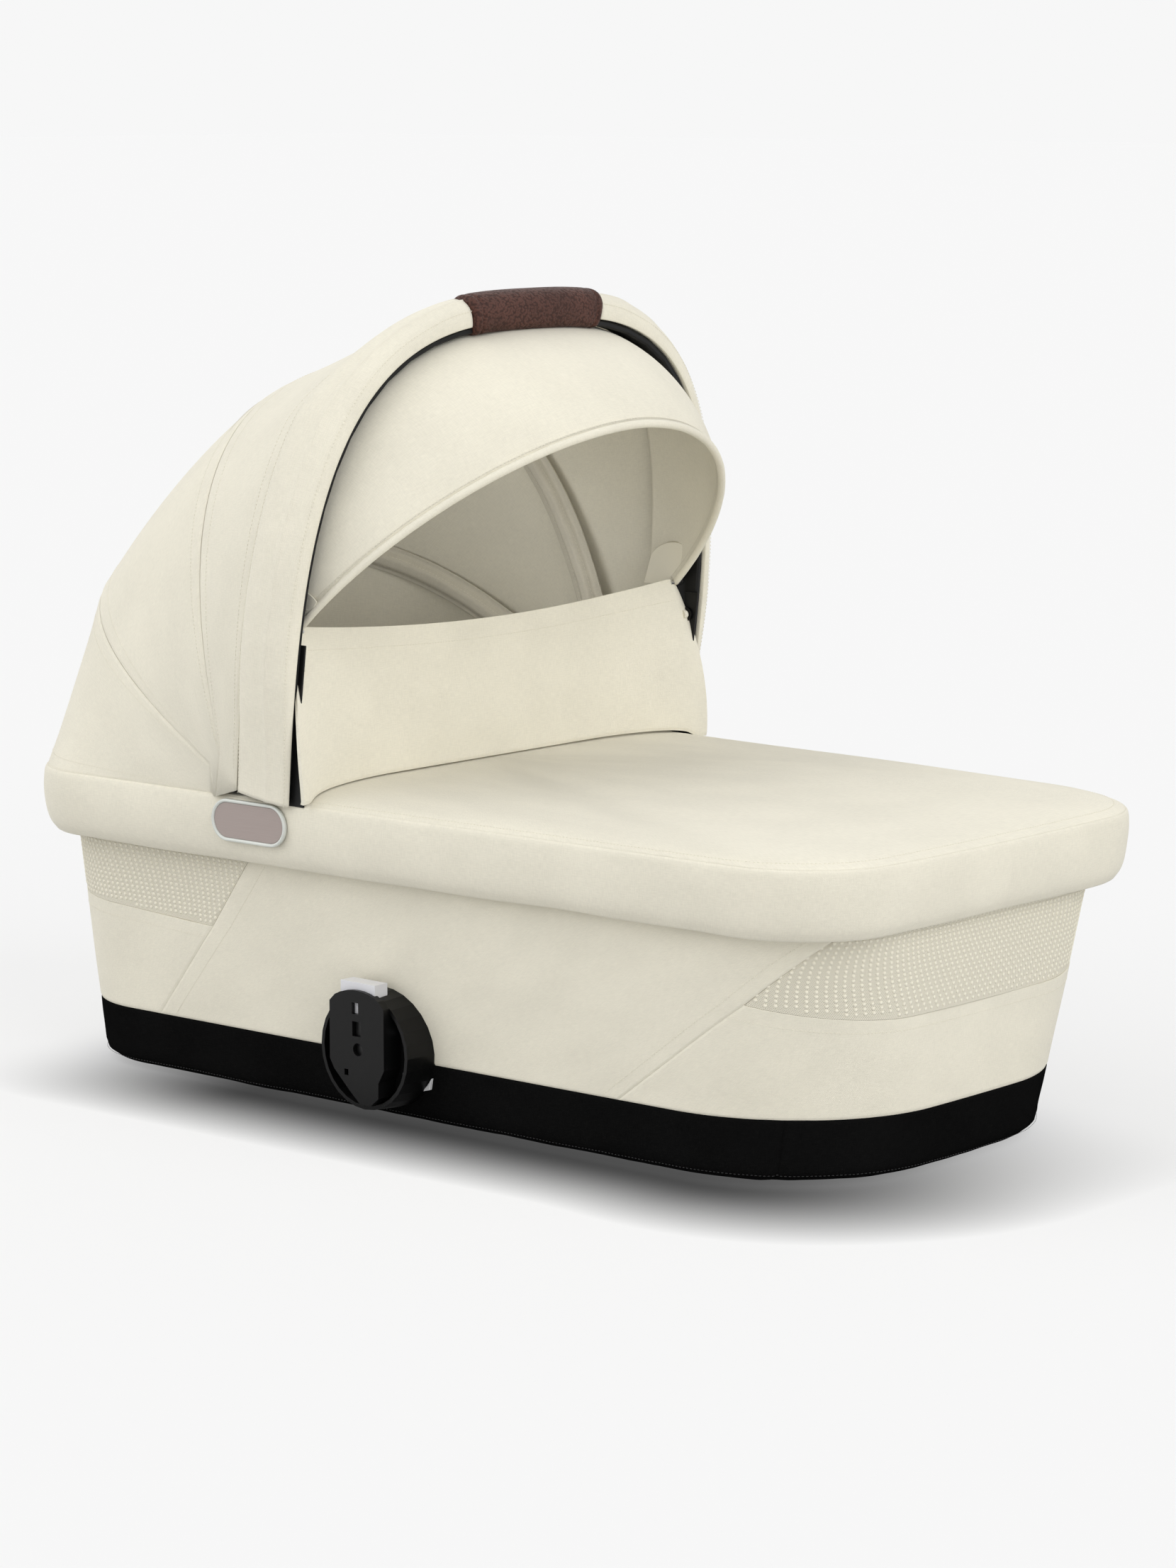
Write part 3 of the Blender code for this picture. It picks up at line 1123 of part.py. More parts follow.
        coil = bpy.data.curves.new("release_spring_" + name, "CURVE")
        coil.dimensions = "3D"
        coil.bevel_depth = SPRING_WIRE_RADIUS
        coil.bevel_resolution = 0
        coil.use_fill_caps = True
        line = coil.splines.new("POLY")
        low = CHANNEL_BOTTOM + SPRING_WIRE_RADIUS + slide_gap
        high = TONGUE_BOTTOM - SPRING_WIRE_RADIUS - slide_gap
        count = 8 * SPRING_TURNS
        line.points.add(count)
        spring_y = (tongue_front + tongue_back) / 2
        for i, spot in enumerate(line.points):
            turn = 2 * math.pi * SPRING_TURNS * i / count
            spot.co = (ADAPTER_X + CHANNEL_X + SPRING_COIL_RADIUS * math.cos(turn),
                       side * spring_y + SPRING_COIL_RADIUS * math.sin(turn),
                       ADAPTER_Z + mix(low, high, i / count), 1)
        spring = bpy.data.objects.new("release_spring_" + name, coil)
        coil.materials.append(finish_material("release_spring_" + name, "steel"))
        parts.objects.link(spring)

        for place, z in (("upper", SCREW_SPREAD), ("lower", -SCREW_SPREAD)):
            screw = cylinder_y(ADAPTER_X + SCREW_X, ADAPTER_Z + z, SCREW_RADIUS, side * (pocket_y + GAP),
                               side * (pocket_y + GAP + SCREW_HEAD), PIN_STEPS)
            add(parts, "adapter_screw_%s_%s" % (place, name), screw, "steel")


def build_badges(parts, cutters):
    """Bare pill with a raised rim, on the rim band below each handle leg."""
    for name, side in SIDES:
        face = side_y(BADGE_X, 0)
        shape = []
        radius = BADGE_HALF_HEIGHT
        straight = BADGE_HALF_LENGTH - BADGE_HALF_HEIGHT
        for centre, first in ((straight, -math.pi / 2), (-straight, math.pi / 2)):
            for angle in levels(first, first + math.pi, 10):
                shape.append((BADGE_X + centre + radius * math.cos(angle), BADGE_Z + radius * math.sin(angle)))
        inner_share = (radius - BADGE_RIM) / radius
        recess = []
        for centre, first in ((straight, -math.pi / 2), (-straight, math.pi / 2)):
            for angle in levels(first, first + math.pi, 10):
                recess.append((BADGE_X + centre + radius * inner_share * math.cos(angle),
                               BADGE_Z + radius * inner_share * math.sin(angle)))
        lean = math.atan(TAPER * HALF_WIDTH)
        turn = Matrix.Translation((BADGE_X, side * (face + GAP), 0)) @ Matrix.Rotation(-side * lean, 4, "Z")
        turn = turn @ Matrix.Translation((-BADGE_X, 0, 0))
        pill_shape = prism_y(shape, side * GAP, side * (GAP + BADGE_THICKNESS))
        bmesh.ops.transform(pill_shape, matrix=turn, verts=pill_shape.verts)
        pill = add(parts, "badge_" + name, pill_shape, "badge")
        dish = prism_y(recess, side * (GAP + BADGE_THICKNESS - BADGE_RECESS),
                       side * (GAP + BADGE_THICKNESS + CUT_OVERRUN))
        bmesh.ops.transform(dish, matrix=turn, verts=dish.verts)
        boolean(pill, as_cutter(cutters, "badge_dish_" + name, dish), "DIFFERENCE")


def seam_line(angle, half, reach, square, foot_x, inside):
    """Sewn line of the hood fabric over a bow, down to the rim, on the outer or inner face."""
    line = arch(PIVOT_X, PIVOT_Z, angle, half - inside, reach - inside, square, start=FABRIC_START)
    feet = [Vector((foot_x, side * (half - inside), FABRIC_FOOT_Z)) for _, side in SIDES]
    return [feet[0]] + line + [feet[1]]


def rows_between(first, last, steps, swell):
    """Rows from one line to another, swelling outwards from the pivot in between."""
    centre = Vector((PIVOT_X, 0, PIVOT_Z))
    rows = []
    for step in range(steps + 1):
        share = step / steps
        lift = swell * 4 * share * (1 - share)
        row = []
        for a, b in zip(first, last):
            point = a.lerp(b, share)
            out = point - centre
            out.y = 0
            row.append(point + out * lift)
        rows.append(row)
    return rows


def build_canopy(parts):
    """Three fabric panels of the hood: handle to middle bow, middle to rear bow, rear bow to rim."""
    reach_extra = BOW_THICKNESS / 2 + BOW_CLEARANCE + FABRIC_THICKNESS
    turn = SEAM_GAP / MIDDLE_BOW_REACH
    grids = {}
    for face, inside in (("outer", 0), ("inner", FABRIC_THICKNESS)):
        middle_reach = MIDDLE_BOW_REACH + reach_extra
        rear_reach = REAR_BOW_REACH + reach_extra
        ahead = seam_line(MIDDLE_BOW_ANGLE - turn, FABRIC_HALF, middle_reach, MIDDLE_BOW_SQUARE,
                          MIDDLE_FOOT_X + SEAM_GAP, inside)
        behind = seam_line(MIDDLE_BOW_ANGLE + turn, FABRIC_HALF, middle_reach, MIDDLE_BOW_SQUARE,
                           MIDDLE_FOOT_X - SEAM_GAP, inside)
        rear_ahead = seam_line(REAR_BOW_ANGLE - turn, REAR_FABRIC_HALF, rear_reach, REAR_BOW_SQUARE,
                               REAR_FOOT_X + SEAM_GAP, inside)
        rear_behind = seam_line(REAR_BOW_ANGLE + turn, REAR_FABRIC_HALF, rear_reach, REAR_BOW_SQUARE,
                                REAR_FOOT_X - SEAM_GAP, inside)
        handle_line = []
        for point, across, outward in handle_frames():
            width, thickness, _ = handle_size(point.z)
            lift = max(FABRIC_THICKNESS + GAP, FABRIC_LIFT * thickness) - inside
            handle_line.append(point - across * (width + SLEEVE_SEAM) + outward * lift)
        handle_line = even(handle_line, len(ahead) - 1)
        rim = rim_ring(FABRIC_FOOT_Z, RIM_TOP_INSET + inside)
        head_half = sorted((p for p in rim if p.x < RIM_FOOT_X), key=lambda p: math.atan2(p.y, -p.x))
        y_foot = side_y(RIM_FOOT_X, RIM_TOP_INSET + inside)
        first = Vector((RIM_FOOT_X, -y_foot, FABRIC_FOOT_Z))
        last = Vector((RIM_FOOT_X, y_foot, FABRIC_FOOT_Z))
        rim_line = even([first] + head_half + [last], len(ahead) - 1)
        grids[face] = (
            rows_between(handle_line, ahead, 4, 0.0),
            rows_between(behind, rear_ahead, 4, 0.030),
            rows_between(rear_behind, rim_line, 4, 0.0),
        )
    for number, name in enumerate(("canopy_front", "canopy_middle", "canopy_rear")):
        shape = sheet_between(grids["outer"][number], grids["inner"][number])
        add(parts, name, shape, "cream_fabric")


def build_visor(parts, cutters):
    """Sun visor: fabric sheet and sprung hem, hung on two small pivots inside the handle."""
    hem_half = core_face_y(VISOR_Z) - VISOR_SIDE_CLEARANCE
    rear_half = hem_half - VISOR_REAR_IN
    hem_path = arch(VISOR_X, VISOR_Z, VISOR_HEM_ANGLE, hem_half, VISOR_HEM_REACH, VISOR_HEM_SQUARE)
    hem_section = rounded(-VISOR_HEM_RADIUS, VISOR_HEM_RADIUS, -VISOR_HEM_RADIUS, VISOR_HEM_RADIUS,
                          VISOR_HEM_RADIUS * 0.8, steps=1)
    hem = add(parts, "visor_hem", sweep(frames(hem_path, VISOR_HEM_ANGLE), hem_section), "cream_fabric")
    for name, side in SIDES:
        low = side * (hem_half - VISOR_HEM_RADIUS * 1.2)
        high = side * (hem_half + VISOR_HEM_RADIUS * 1.2)
        eye = cylinder_y(VISOR_X, VISOR_Z, VISOR_EYE_RADIUS, low, high, PIN_STEPS)
        boolean(hem, as_cutter(cutters, "visor_eye_" + name, eye), "UNION")
        bore = cylinder_y(VISOR_X, VISOR_Z, PIN_RADIUS / 2 + PIN_CLEARANCE,
                          low - side * CUT_OVERRUN, high + side * CUT_OVERRUN, PIN_STEPS)
        boolean(hem, as_cutter(cutters, "visor_bore_" + name, bore), "DIFFERENCE")

    behind_hem = Vector((-math.cos(VISOR_HEM_ANGLE), 0, -math.sin(VISOR_HEM_ANGLE))) * (VISOR_HEM_RADIUS + GAP)
    grids = []
    for inside in (0, VISOR_THICKNESS):
        rows = []
        for share in levels(0, 1, 4):
            angle = mix(VISOR_HEM_ANGLE, VISOR_REAR_ANGLE, share)
            half = mix(hem_half, rear_half, share) - inside
            reach = mix(VISOR_HEM_REACH, VISOR_REAR_REACH, share) - inside
            square = mix(VISOR_HEM_SQUARE, VISOR_REAR_SQUARE, share)
            row = arch(VISOR_X, VISOR_Z, angle, half, reach, square,
                       start=mix(VISOR_START, 2 * VISOR_START, share))
            rows.append([point + behind_hem * (1 - share) for point in row])
        grids.append(rows)
    add(parts, "visor_panel", sheet_between(*grids), "cream_fabric")

    for name, side in SIDES:
        inner_y = hem_half - 2 * VISOR_HEM_RADIUS
        pin = cylinder_y(VISOR_X, VISOR_Z, PIN_RADIUS / 2, side * inner_y,
                         side * (core_face_y(VISOR_Z) - GAP), PIN_STEPS)
        add(parts, "visor_pivot_" + name, pin, "steel")


def build():
    clear_scene()
    parts = collection("carrycot")
    cutters = collection("carrycot_cutters")
    floor_z, inner_depth = build_body(parts, cutters)
    build_mattress(parts, floor_z, inner_depth)
    build_rim(parts, cutters)
    build_columns(parts, cutters)
    build_adapters(parts, cutters)
    build_badges(parts, cutters)
    build_hubs(parts, cutters)
    build_bow(parts, cutters, "middle_bow", MIDDLE_BOW_ANGLE, MIDDLE_BOW_HALF, MIDDLE_BOW_REACH,
              MIDDLE_BOW_SQUARE, MIDDLE_BOW_SPLAY)
    build_bow(parts, cutters, "rear_bow", REAR_BOW_ANGLE, REAR_BOW_HALF, REAR_BOW_REACH,
              REAR_BOW_SQUARE, REAR_BOW_SPLAY)
    build_handle(parts, cutters)
    build_canopy(parts)
    build_visor(parts, cutters)
    build_flap(parts, cutters)


build()
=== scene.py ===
"""Looks of the carrycot: fabrics, leather, plastics and their sewing, dressed round the packed model.

Lengths are in metres. X runs from the head end to the foot end, Y across, Z up from the floor.
The left side, nearest the camera, is the one at -Y.
"""

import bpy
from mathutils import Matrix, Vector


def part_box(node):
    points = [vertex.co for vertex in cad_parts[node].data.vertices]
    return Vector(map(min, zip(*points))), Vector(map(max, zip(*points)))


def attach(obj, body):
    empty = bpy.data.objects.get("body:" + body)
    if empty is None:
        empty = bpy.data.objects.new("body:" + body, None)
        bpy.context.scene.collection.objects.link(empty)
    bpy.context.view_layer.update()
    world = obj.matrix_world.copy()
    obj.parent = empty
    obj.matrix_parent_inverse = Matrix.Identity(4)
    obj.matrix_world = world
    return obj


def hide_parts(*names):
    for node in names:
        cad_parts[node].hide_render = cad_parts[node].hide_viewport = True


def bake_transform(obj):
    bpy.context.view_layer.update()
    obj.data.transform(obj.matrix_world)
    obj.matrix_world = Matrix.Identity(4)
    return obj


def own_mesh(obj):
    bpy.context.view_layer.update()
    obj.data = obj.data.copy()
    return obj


bl_info = {
    "name": "Carrycot looks",
    "version": (1, 0, 0),
    "blender": (4, 5, 0),
    "location": "View3D > Sidebar > Carrycot",
    "description": "Dresses the carrycot's frame with sewn fabric, leather and moulded plastic",
    "category": "Object",
}

import math

import bmesh
import bpy
import numpy as np
from bpy.props import FloatProperty, FloatVectorProperty, PointerProperty
from mathutils import Matrix, Vector, noise

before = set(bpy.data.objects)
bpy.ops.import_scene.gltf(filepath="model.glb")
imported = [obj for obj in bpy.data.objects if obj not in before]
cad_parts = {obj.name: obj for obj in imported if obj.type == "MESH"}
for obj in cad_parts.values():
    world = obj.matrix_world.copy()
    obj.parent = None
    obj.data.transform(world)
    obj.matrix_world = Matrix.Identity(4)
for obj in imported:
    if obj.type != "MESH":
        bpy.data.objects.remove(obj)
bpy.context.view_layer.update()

SIDES = (("left", -1), ("right", 1))
GAP = 0.0003

# Seams: distances of a grid's first rows from its seam, where soft waves have faded, puckers beside it
SEAM_STEPS = (0, 0.0006, 0.0012, 0.0019, 0.0027, 0.0038, 0.0055)
SEAM_CALM = 0.03
PUCKER_WIDTH = 0.007
PUCKER_SCALE = 95.0
# Rows of a grid where its stitches lie, and their height over the cloth
STITCH_ROWS = (9, -10)
VENT_STITCH_ROW = -9
STITCH_LIFT = 0.0001

# Knots of the vents: their rows and width as shares of the pitch, their height
KNOT_ROW_SHARE = 1.27
KNOT_WIDTH_SHARE = 0.60
KNOT_HEIGHT = 0.0012
KNOT_MARGIN = 0.002

# Outline of the body, seen from above
HALF_LENGTH = 0.4085
HALF_WIDTH = 0.2196
WIDEST_X = -0.2800
TAPER = 0.1450
HEAD_SIDE_RADIUS = 3.2
HEAD_END_RADIUS = 0.466
FOOT_SIDE_RADIUS = 50.0
FOOT_END_RADIUS = 2.9
END_STEPS, CORNER_STEPS, SIDE_STEPS = 10, 26, 30

# Side wall: height, inset of the sides, of the head end and of the foot end, corner radii
WALL_LEVELS = (
    (0.0175, 0.0370, 0.0331, 0.0332, 0.080, 0.134),
    (0.0485, 0.0345, 0.0295, 0.0285, 0.082, 0.130),
    (0.1130, 0.0285, 0.0237, 0.0235, 0.084, 0.113),
    (0.1780, 0.0245, 0.0169, 0.0191, 0.084, 0.093),
)
WALL_FOOT = 0.0175
BOOT_TOP = 0.0480
BOOT_EDGE_RADIUS = 0.0160
BOOT_FLANGE = 0.0120
BOOT_SEAM_X = 0.3270
BOOT_SEAM_STEPS = (0.0008, 0.0015, 0.0025, 0.004, 0.006)
BOOT_CORD_ROW = 6
COVER_TOP = 0.1900

# Rim: height of each line round it, and how far it lies inside the widest one
RIM_HEAD_CORNER = 0.077
RIM_FOOT_CORNER = 0.086
RIM_TOP = 0.2332
RIM_TOP_INSET = 0.0026
RIM_LINES = ((0.1834, 0.0095), (0.1900, 0.0048), (0.2000, 0.0018), (0.2150, 0.0000), (0.2262, 0.0003),
             (0.2308, 0.0012), (RIM_TOP, RIM_TOP_INSET))
RIM_UNDER_LINES = ((0.1818, 0.0150), (0.1823, 0.0115))
RIM_TUCK_Z = 0.00175
RIM_TUCK_DEPTH = 0.0018
RIM_SEAM_SHARES = (0.4, 0.2, 0.075)
RIM_LIP_LINES = ((RIM_TOP, RIM_TOP_INSET), (0.2340, 0.0140), (0.2335, 0.0275))
BAND_REAR_X = -0.0860
APRON_CROWN = 0.0090
APRON_LAST_RING = 0.985
# Share of the way out from the middle, share of the crown
APRON_SHARES = ((0.02, 1.0), (0.15, 1.0), (0.5, 1.0), (0.8, 0.90), (0.94, 0.60), (1.0, 0.0))

# Seams of the side cover, as X and Z along them, and lower edges of the vents
FOOT_SEAM = ((0.2006, 0.0480), (0.3120, 0.1308), (0.3817, 0.1900))
HEAD_SEAM = ((-0.2497, 0.0480), (-0.1852, 0.1246), (-0.1360, 0.1900))
FOOT_VENT_EDGE = ((0.3120, 0.1308), (0.3860, 0.1175))
HEAD_VENT_EDGE = ((-0.3500, 0.1335), (-0.1852, 0.1246))

# Lining and mattress
LINING_DEPTH = 0.0127
LINING_TOP = 0.2285
LINING_TOP_INSET = 0.0290
LINING_KNEE_Z = 0.1985
LINING_KNEE_INSET = 0.0345
MATTRESS_CHANNELS = 6
MATTRESS_VOXEL = 0.0060
MATTRESS_PRESSURE = 4
MATTRESS_FRAMES = 20
MATTRESS_SWELL = 0.006
MATTRESS_RISE = 0.004
MATTRESS_FLOOR = 0.006
MATTRESS_CHANNEL_HALF = 0.004
MATTRESS_CHANNEL_REACH = 0.9

# Wind flap
FLAP_HINGE_X = -0.0560
FLAP_MIDDLE_X = -0.0740
FLAP_TOP_X = -0.0810
FLAP_END_TOP_X = -0.0770
FLAP_HALF_BASE = 0.2270
FLAP_HALF_TOP = 0.2155
FLAP_BULGE = 0.0030
FLAP_BEND_START = 0.120
FLAP_END_TOP = 0.3620
FLAP_MIDDLE_TOP = 0.3490
FLAP_THICKNESS = 0.0030
FLAP_NARROWING = 1.6
FLAP_BEND_POWER = 1.6
FLAP_RISE_POWER = 2.0
FLAP_SEAM_HEIGHT = 0.12
FLAP_STITCH_ROW = -14
FLAP_CLEARANCE = 0.0014
FLAP_CORNER_DROP = 0.0120
FLAP_CORNER_SHARE = 0.94
# Tab at each popper: distance outwards from the popper's inner end, radius
FLAP_TAB = ((-0.0040, 0.0), (-0.0040, 0.0034), (-0.0006, 0.0036), (0, 0.0030), (0, 0.0))

# Hood pivot and bows: angle back from upright, reach, half width, squareness, splay
PIVOT = np.array((-0.1380, 0.0, 0.2430))
MIDDLE_BOW = (math.radians(15.8), 0.2943, 0.2073, 2.6, 0.080)
REAR_BOW = (math.radians(59.2), 0.2685, 0.2031, 3.0, 0.080)
BOW_THICKNESS = 0.0030
BOW_CLEARANCE = 0.0015
FABRIC = 0.0020
FABRIC_HALF = 0.2270
REAR_FABRIC_HALF = 0.2255
FABRIC_START = 0.022
FABRIC_FOOT_Z = 0.2312
MIDDLE_FOOT_X = -0.1500
REAR_FOOT_X = -0.1530
RIM_FOOT_X = -0.1565
SEAM_GAP = 0.0006
FABRIC_LIFT = 0.30
SLEEVE_SEAM = 0.0015
CHANNEL_START = 0.045
CHANNEL_BULGE_HALF = 0.0062
CHANNEL_BULGE = 0.0052
CHANNEL_LIFT = 0.0012

# Handle arch, along the front inner edge of its sleeve
HANDLE_X = -0.0776
HANDLE_Z = 0.2130
HANDLE_ANGLE = math.radians(-7.1)
HANDLE_REACH = 0.3658
HANDLE_HALF = 0.2225
HANDLE_SQUARE = 3.03
HANDLE_SPLAY = 0.095
HANDLE_FOOT_Z = 0.2312
# Height, width of the sleeve, its thickness, width of the core inside it
HANDLE_STATIONS = (
    (0.2350, 0.0520, 0.0045, 0.0480),
    (0.3530, 0.0520, 0.0138, 0.0480),
    (0.5000, 0.0520, 0.0138, 0.0460),
    (0.5613, 0.0322, 0.0155, 0.0250),
    (0.5720, 0.0290, 0.0180, 0.0210),
)
SLEEVE_SHARES = ((0, 0), (-0.006, 0.22), (0.03, 0.55), (0.12, 0.82), (0.30, 1), (0.50, 1.03), (0.70, 1),
                 (0.90, 0.80), (0.99, 0.45), (1, 0.12), (0.98, 0))
# Sewn lines of the sleeve, as shares of its width and thickness, and the ridge down its face
SLEEVE_STITCHES = ((0.045, 0.63), (0.965, 0.58))
SLEEVE_RIDGE = 0.36
CORE_THICKNESS = 0.0052
GRIP_HALF = 0.070
GRIP_TOP = 0.0215
GRIP_MIDDLE = 0.0070
GRIP_BOTTOM = 0.0080
GRIP_FRONT = 0.0035
GRIP_REAR = 0.0265
GRIP_ROUNDING = 0.0045
GRIP_GROOVE = 0.0075
GRIP_GROOVE_DEPTH = 0.0011
GRIP_COLUMNS = 56
GRIP_HALF_HEIGHT = 0.014
LEG_FOOT_FRONT = -0.0635
LEG_FOOT_MIDDLE = 0.2800
LEG_FOOT_TOP = 0.3500
LEG_FOOT_DEPTH = 0.0120
LEG_FOOT_THICKNESS = 0.0016

# Sun visor
VISOR_X = -0.0774
VISOR_Z = 0.3576
VISOR_HEM = (math.radians(-45.1), 0.2065, 0.2120, 1.87)
VISOR_HEM_RADIUS = 0.0030
VISOR_START = 0.008
VISOR_ROOT_DEPTH = 0.0012
VISOR_ROOT_TUCK = 0.0030
VISOR_FIRST_ROWS = (0, 0.006, 0.012, 0.02, 0.03, 0.045)
VISOR_CORNER = 0.0320
VISOR_CORNER_TURN = math.radians(95)
VISOR_CORNER_DROP = 0.0030
# Rear end of the hem's section, where it holds the cloth
VISOR_HEM_TAIL = ((-0.0050, -0.0016), (-0.0058, -0.0004), (-0.0058, 0.0008), (-0.0050, 0.0016))
VISOR_THICKNESS = 0.0016
VISOR_SWELL = 0.012

# Badge pill on the rim
BADGE_X = -0.1160
BADGE_Z = 0.2150
BADGE_HALF_LENGTH = 0.0372
BADGE_HALF_HEIGHT = 0.0158
BADGE_THICKNESS = 0.0030
BADGE_RIM = 0.0026
# Sections of its rim and its face: inset, depth below the top of the rim
BADGE_RIM_SECTION = ((0, 0.0012), (0.0002, 0.0005), (0.0007, 0.0001), (0.0012, 0), (0.0018, 0.0001),
                     (0.0023, 0.0005), (BADGE_RIM, 0.0011), (BADGE_RIM, 0.0018))
BADGE_FACE_SECTION = ((BADGE_RIM + 0.0001, 0.0018), (BADGE_RIM + 0.0001, 0.0012),
                      (BADGE_RIM + 0.0004, 0.0010))
BADGE_FACE_DEPTH = 0.0010
BADGE_FACE_EDGE = 0.0006

# Release sliders
SLIDER_DARK_BELOW = 0.0790
SLIDER_PALE_ABOVE = 0.0794

# Pale tab beside the adapter
TAB_X = 0.0240
TAB_Z = 0.0309
TAB_CORNERS = ((-0.0060, -0.0040), (0.0028, -0.0015), (0.0048, 0.0075), (0.0005, 0.0015))
TAB_THICKNESS = 0.0030

# Camera
CAMERA_PLACE = (2.159, -2.435, 0.755)
CAMERA_AZIMUTH = math.radians(41.336)
CAMERA_ELEVATION = math.radians(9.183)
CAMERA_LENS = 100.56
CAMERA_SENSOR = 36.0

# Lamps: name, how wide each looks, azimuth from the camera's side towards the foot end, height (degrees)
LAMPS = (("key", 70, -50, 38), ("front", 60, 88, 24), ("fill", 80, 20, 25))
HOOD_LAMP_PLACE = (-0.155, 0.05, 0.33)
HOOD_LAMP_BACK = (0.35, -1.0, -0.45)
HOOD_LAMP_SIZE = 0.10

# Floor, and the painted contact shadow on it: a rounded rectangle that fades over its width
FLOOR_HALF = 40
FLOOR_BOUNCE = (0.60, 0.60, 0.60)
FLOOR_LIT = 0.35
FLOOR_LIGHT = 0.91
SHADOW_TONE = 0.02
SHADOW_HALF_LENGTH = 0.375
SHADOW_HALF_WIDTH = 0.186
SHADOW_CORNER = 0.11
SHADOW_WIDTH = 0.113
SHADOW_WIDTH_FOOT = 0.147
SHADOW_FALLOFF = 1.45


class CarrycotSewing(bpy.types.PropertyGroup):
    """Sizes of the cloth and its sewing"""

    cloth: FloatProperty(name="Cloth", description="Thickness of the outer fabric", default=0.0016,
                         min=0.0005, unit="LENGTH")
    roll_depth: FloatProperty(name="Seam depth", description="How deep a seam lies in the fabric",
                              default=0.0007, unit="LENGTH")
    roll_width: FloatProperty(name="Seam width", description="Width over which fabric rolls into a seam",
                              default=0.0028, unit="LENGTH")
    stitch: FloatProperty(name="Stitch", description="Length of one stitch", default=0.0021, unit="LENGTH")
    pitch: FloatProperty(name="Stitch pitch", description="Distance from stitch to stitch",
                         default=0.0030, unit="LENGTH")
    thread: FloatProperty(name="Thread", description="Thickness of the sewing thread", default=0.00050,
                          unit="LENGTH")
    weave: FloatProperty(name="Weave", description="Width of one rib of the twill", default=0.0011,
                         unit="LENGTH")
    knot: FloatProperty(name="Vent knot", description="Distance between knots of the vent mesh",
                        default=0.0055, unit="LENGTH")


class CarrycotColours(bpy.types.PropertyGroup):
    """Colours of the finishes"""

    cream: FloatVectorProperty(name="Cream fabric", description="Outer fabric", subtype="COLOR",
                               default=(0.800, 0.762, 0.640))
    mesh: FloatVectorProperty(name="Vent mesh", description="Ground of the vent mesh", subtype="COLOR",
                              default=(0.690, 0.655, 0.545))
    lining: FloatVectorProperty(name="Lining", description="Inner fabric", subtype="COLOR",
                                default=(0.640, 0.605, 0.510))
    black: FloatVectorProperty(name="Black fabric", description="Band round the base", subtype="COLOR",
                               default=(0.0056, 0.0056, 0.0056))
    plastic: FloatVectorProperty(name="Black plastic", description="Adapters and inner arch",
                                 subtype="COLOR", default=(0.0030, 0.0030, 0.0031))
    slider: FloatVectorProperty(name="Slider", description="Release slider", subtype="COLOR",
                                default=(0.700, 0.700, 0.725))
    leather: FloatVectorProperty(name="Leather", description="Grip", subtype="COLOR",
                                 default=(0.070, 0.028, 0.020))
    badge: FloatVectorProperty(name="Badge", description="Face of the bare badge", subtype="COLOR",
                               default=(0.345, 0.285, 0.262))


class CarrycotStage(bpy.types.PropertyGroup):
    """Light and floor"""

    sky: FloatProperty(name="Sky", description="Strength of the even light", default=0.72, min=0)
    key: FloatProperty(name="Key", description="Strength of the soft lamp at the head end",
                       default=1.02, min=0)
    front: FloatProperty(name="Front", description="Strength of the low lamp at the foot end",
                         default=1.18, min=0)
    fill: FloatProperty(name="Fill", description="Strength of the lamp beside the camera",
                        default=0.25, min=0)
    hood: FloatProperty(name="Hood", description="Power of the soft lamp inside the hood",
                        default=0.095, min=0)
    floor: FloatVectorProperty(name="Floor", description="Colour of floor and backdrop", subtype="COLOR",
                               default=(0.93, 0.93, 0.93))


def mix(low, high, share):
    return low + (high - low) * share


def smooth(share):
    share = np.clip(share, 0, 1)
    return share * share * (3 - 2 * share)


def unit(vectors):
    return vectors / np.maximum(np.linalg.norm(vectors, axis=-1, keepdims=True), 1e-12)


def reach_along(points):
    """Distance from the first point to each point of a line."""
    steps = np.linalg.norm(np.diff(points, axis=0), axis=1)
    return np.concatenate(([0.0], np.cumsum(steps)))


def even(points, steps):
    """The same line with evenly spaced points."""
    reached = reach_along(points)
    wanted = np.linspace(0, reached[-1], steps + 1)
    return np.stack([np.interp(wanted, reached, points[:, i]) for i in range(3)], axis=1)


def curve_through(stations, steps):
    """Smooth line through stations of any width, with this many steps between two of them."""
    table = np.array(stations, float)
    padded = np.vstack([2 * table[0] - table[1], table, 2 * table[-1] - table[-2]])
    rows = []
    for a, b, c, d in zip(padded, padded[1:], padded[2:], padded[3:]):
        for step in range(steps):
            t = step / steps
            rows.append(0.5 * (2 * b + (c - a) * t + (2 * a - 5 * b + 4 * c - d) * t * t
                               + (3 * b - a - 3 * c + d) * t ** 3))
    rows.append(table[-1])
    return np.array(rows)


def quarter(length, half_width, side_radius, corner, end_radius):
    """Quarter of an oval from the middle of its end to its widest point, by three tangent arcs."""
    side = np.array((0, half_width - side_radius))
    end = np.array((length - end_radius, 0))
    side_reach, end_reach = side_radius - corner, end_radius - corner
    across = end - side
    apart = np.linalg.norm(across)
    onward = (apart * apart + side_reach * side_reach - end_reach * end_reach) / (2 * apart)
    off = math.sqrt(max(0, side_reach * side_reach - onward * onward))
    across = across / apart
    centre = side + across * onward + np.array((across[1], -across[0])) * off
    end_angle = math.atan2(*(centre - end)[::-1])
    side_angle = math.atan2(*(centre - side)[::-1])
    points = []
    for middle, radius, first, last, steps in ((end, end_radius, 0, end_angle, END_STEPS),
                                               (centre, corner, end_angle, side_angle, CORNER_STEPS),
                                               (side, side_radius, side_angle, math.pi / 2, SIDE_STEPS)):
        for angle in np.linspace(first, last, steps, endpoint=False):
            points.append(middle + radius * np.array((math.cos(angle), math.sin(angle))))
    points.append(np.array((0, half_width)))
    return np.array(points)


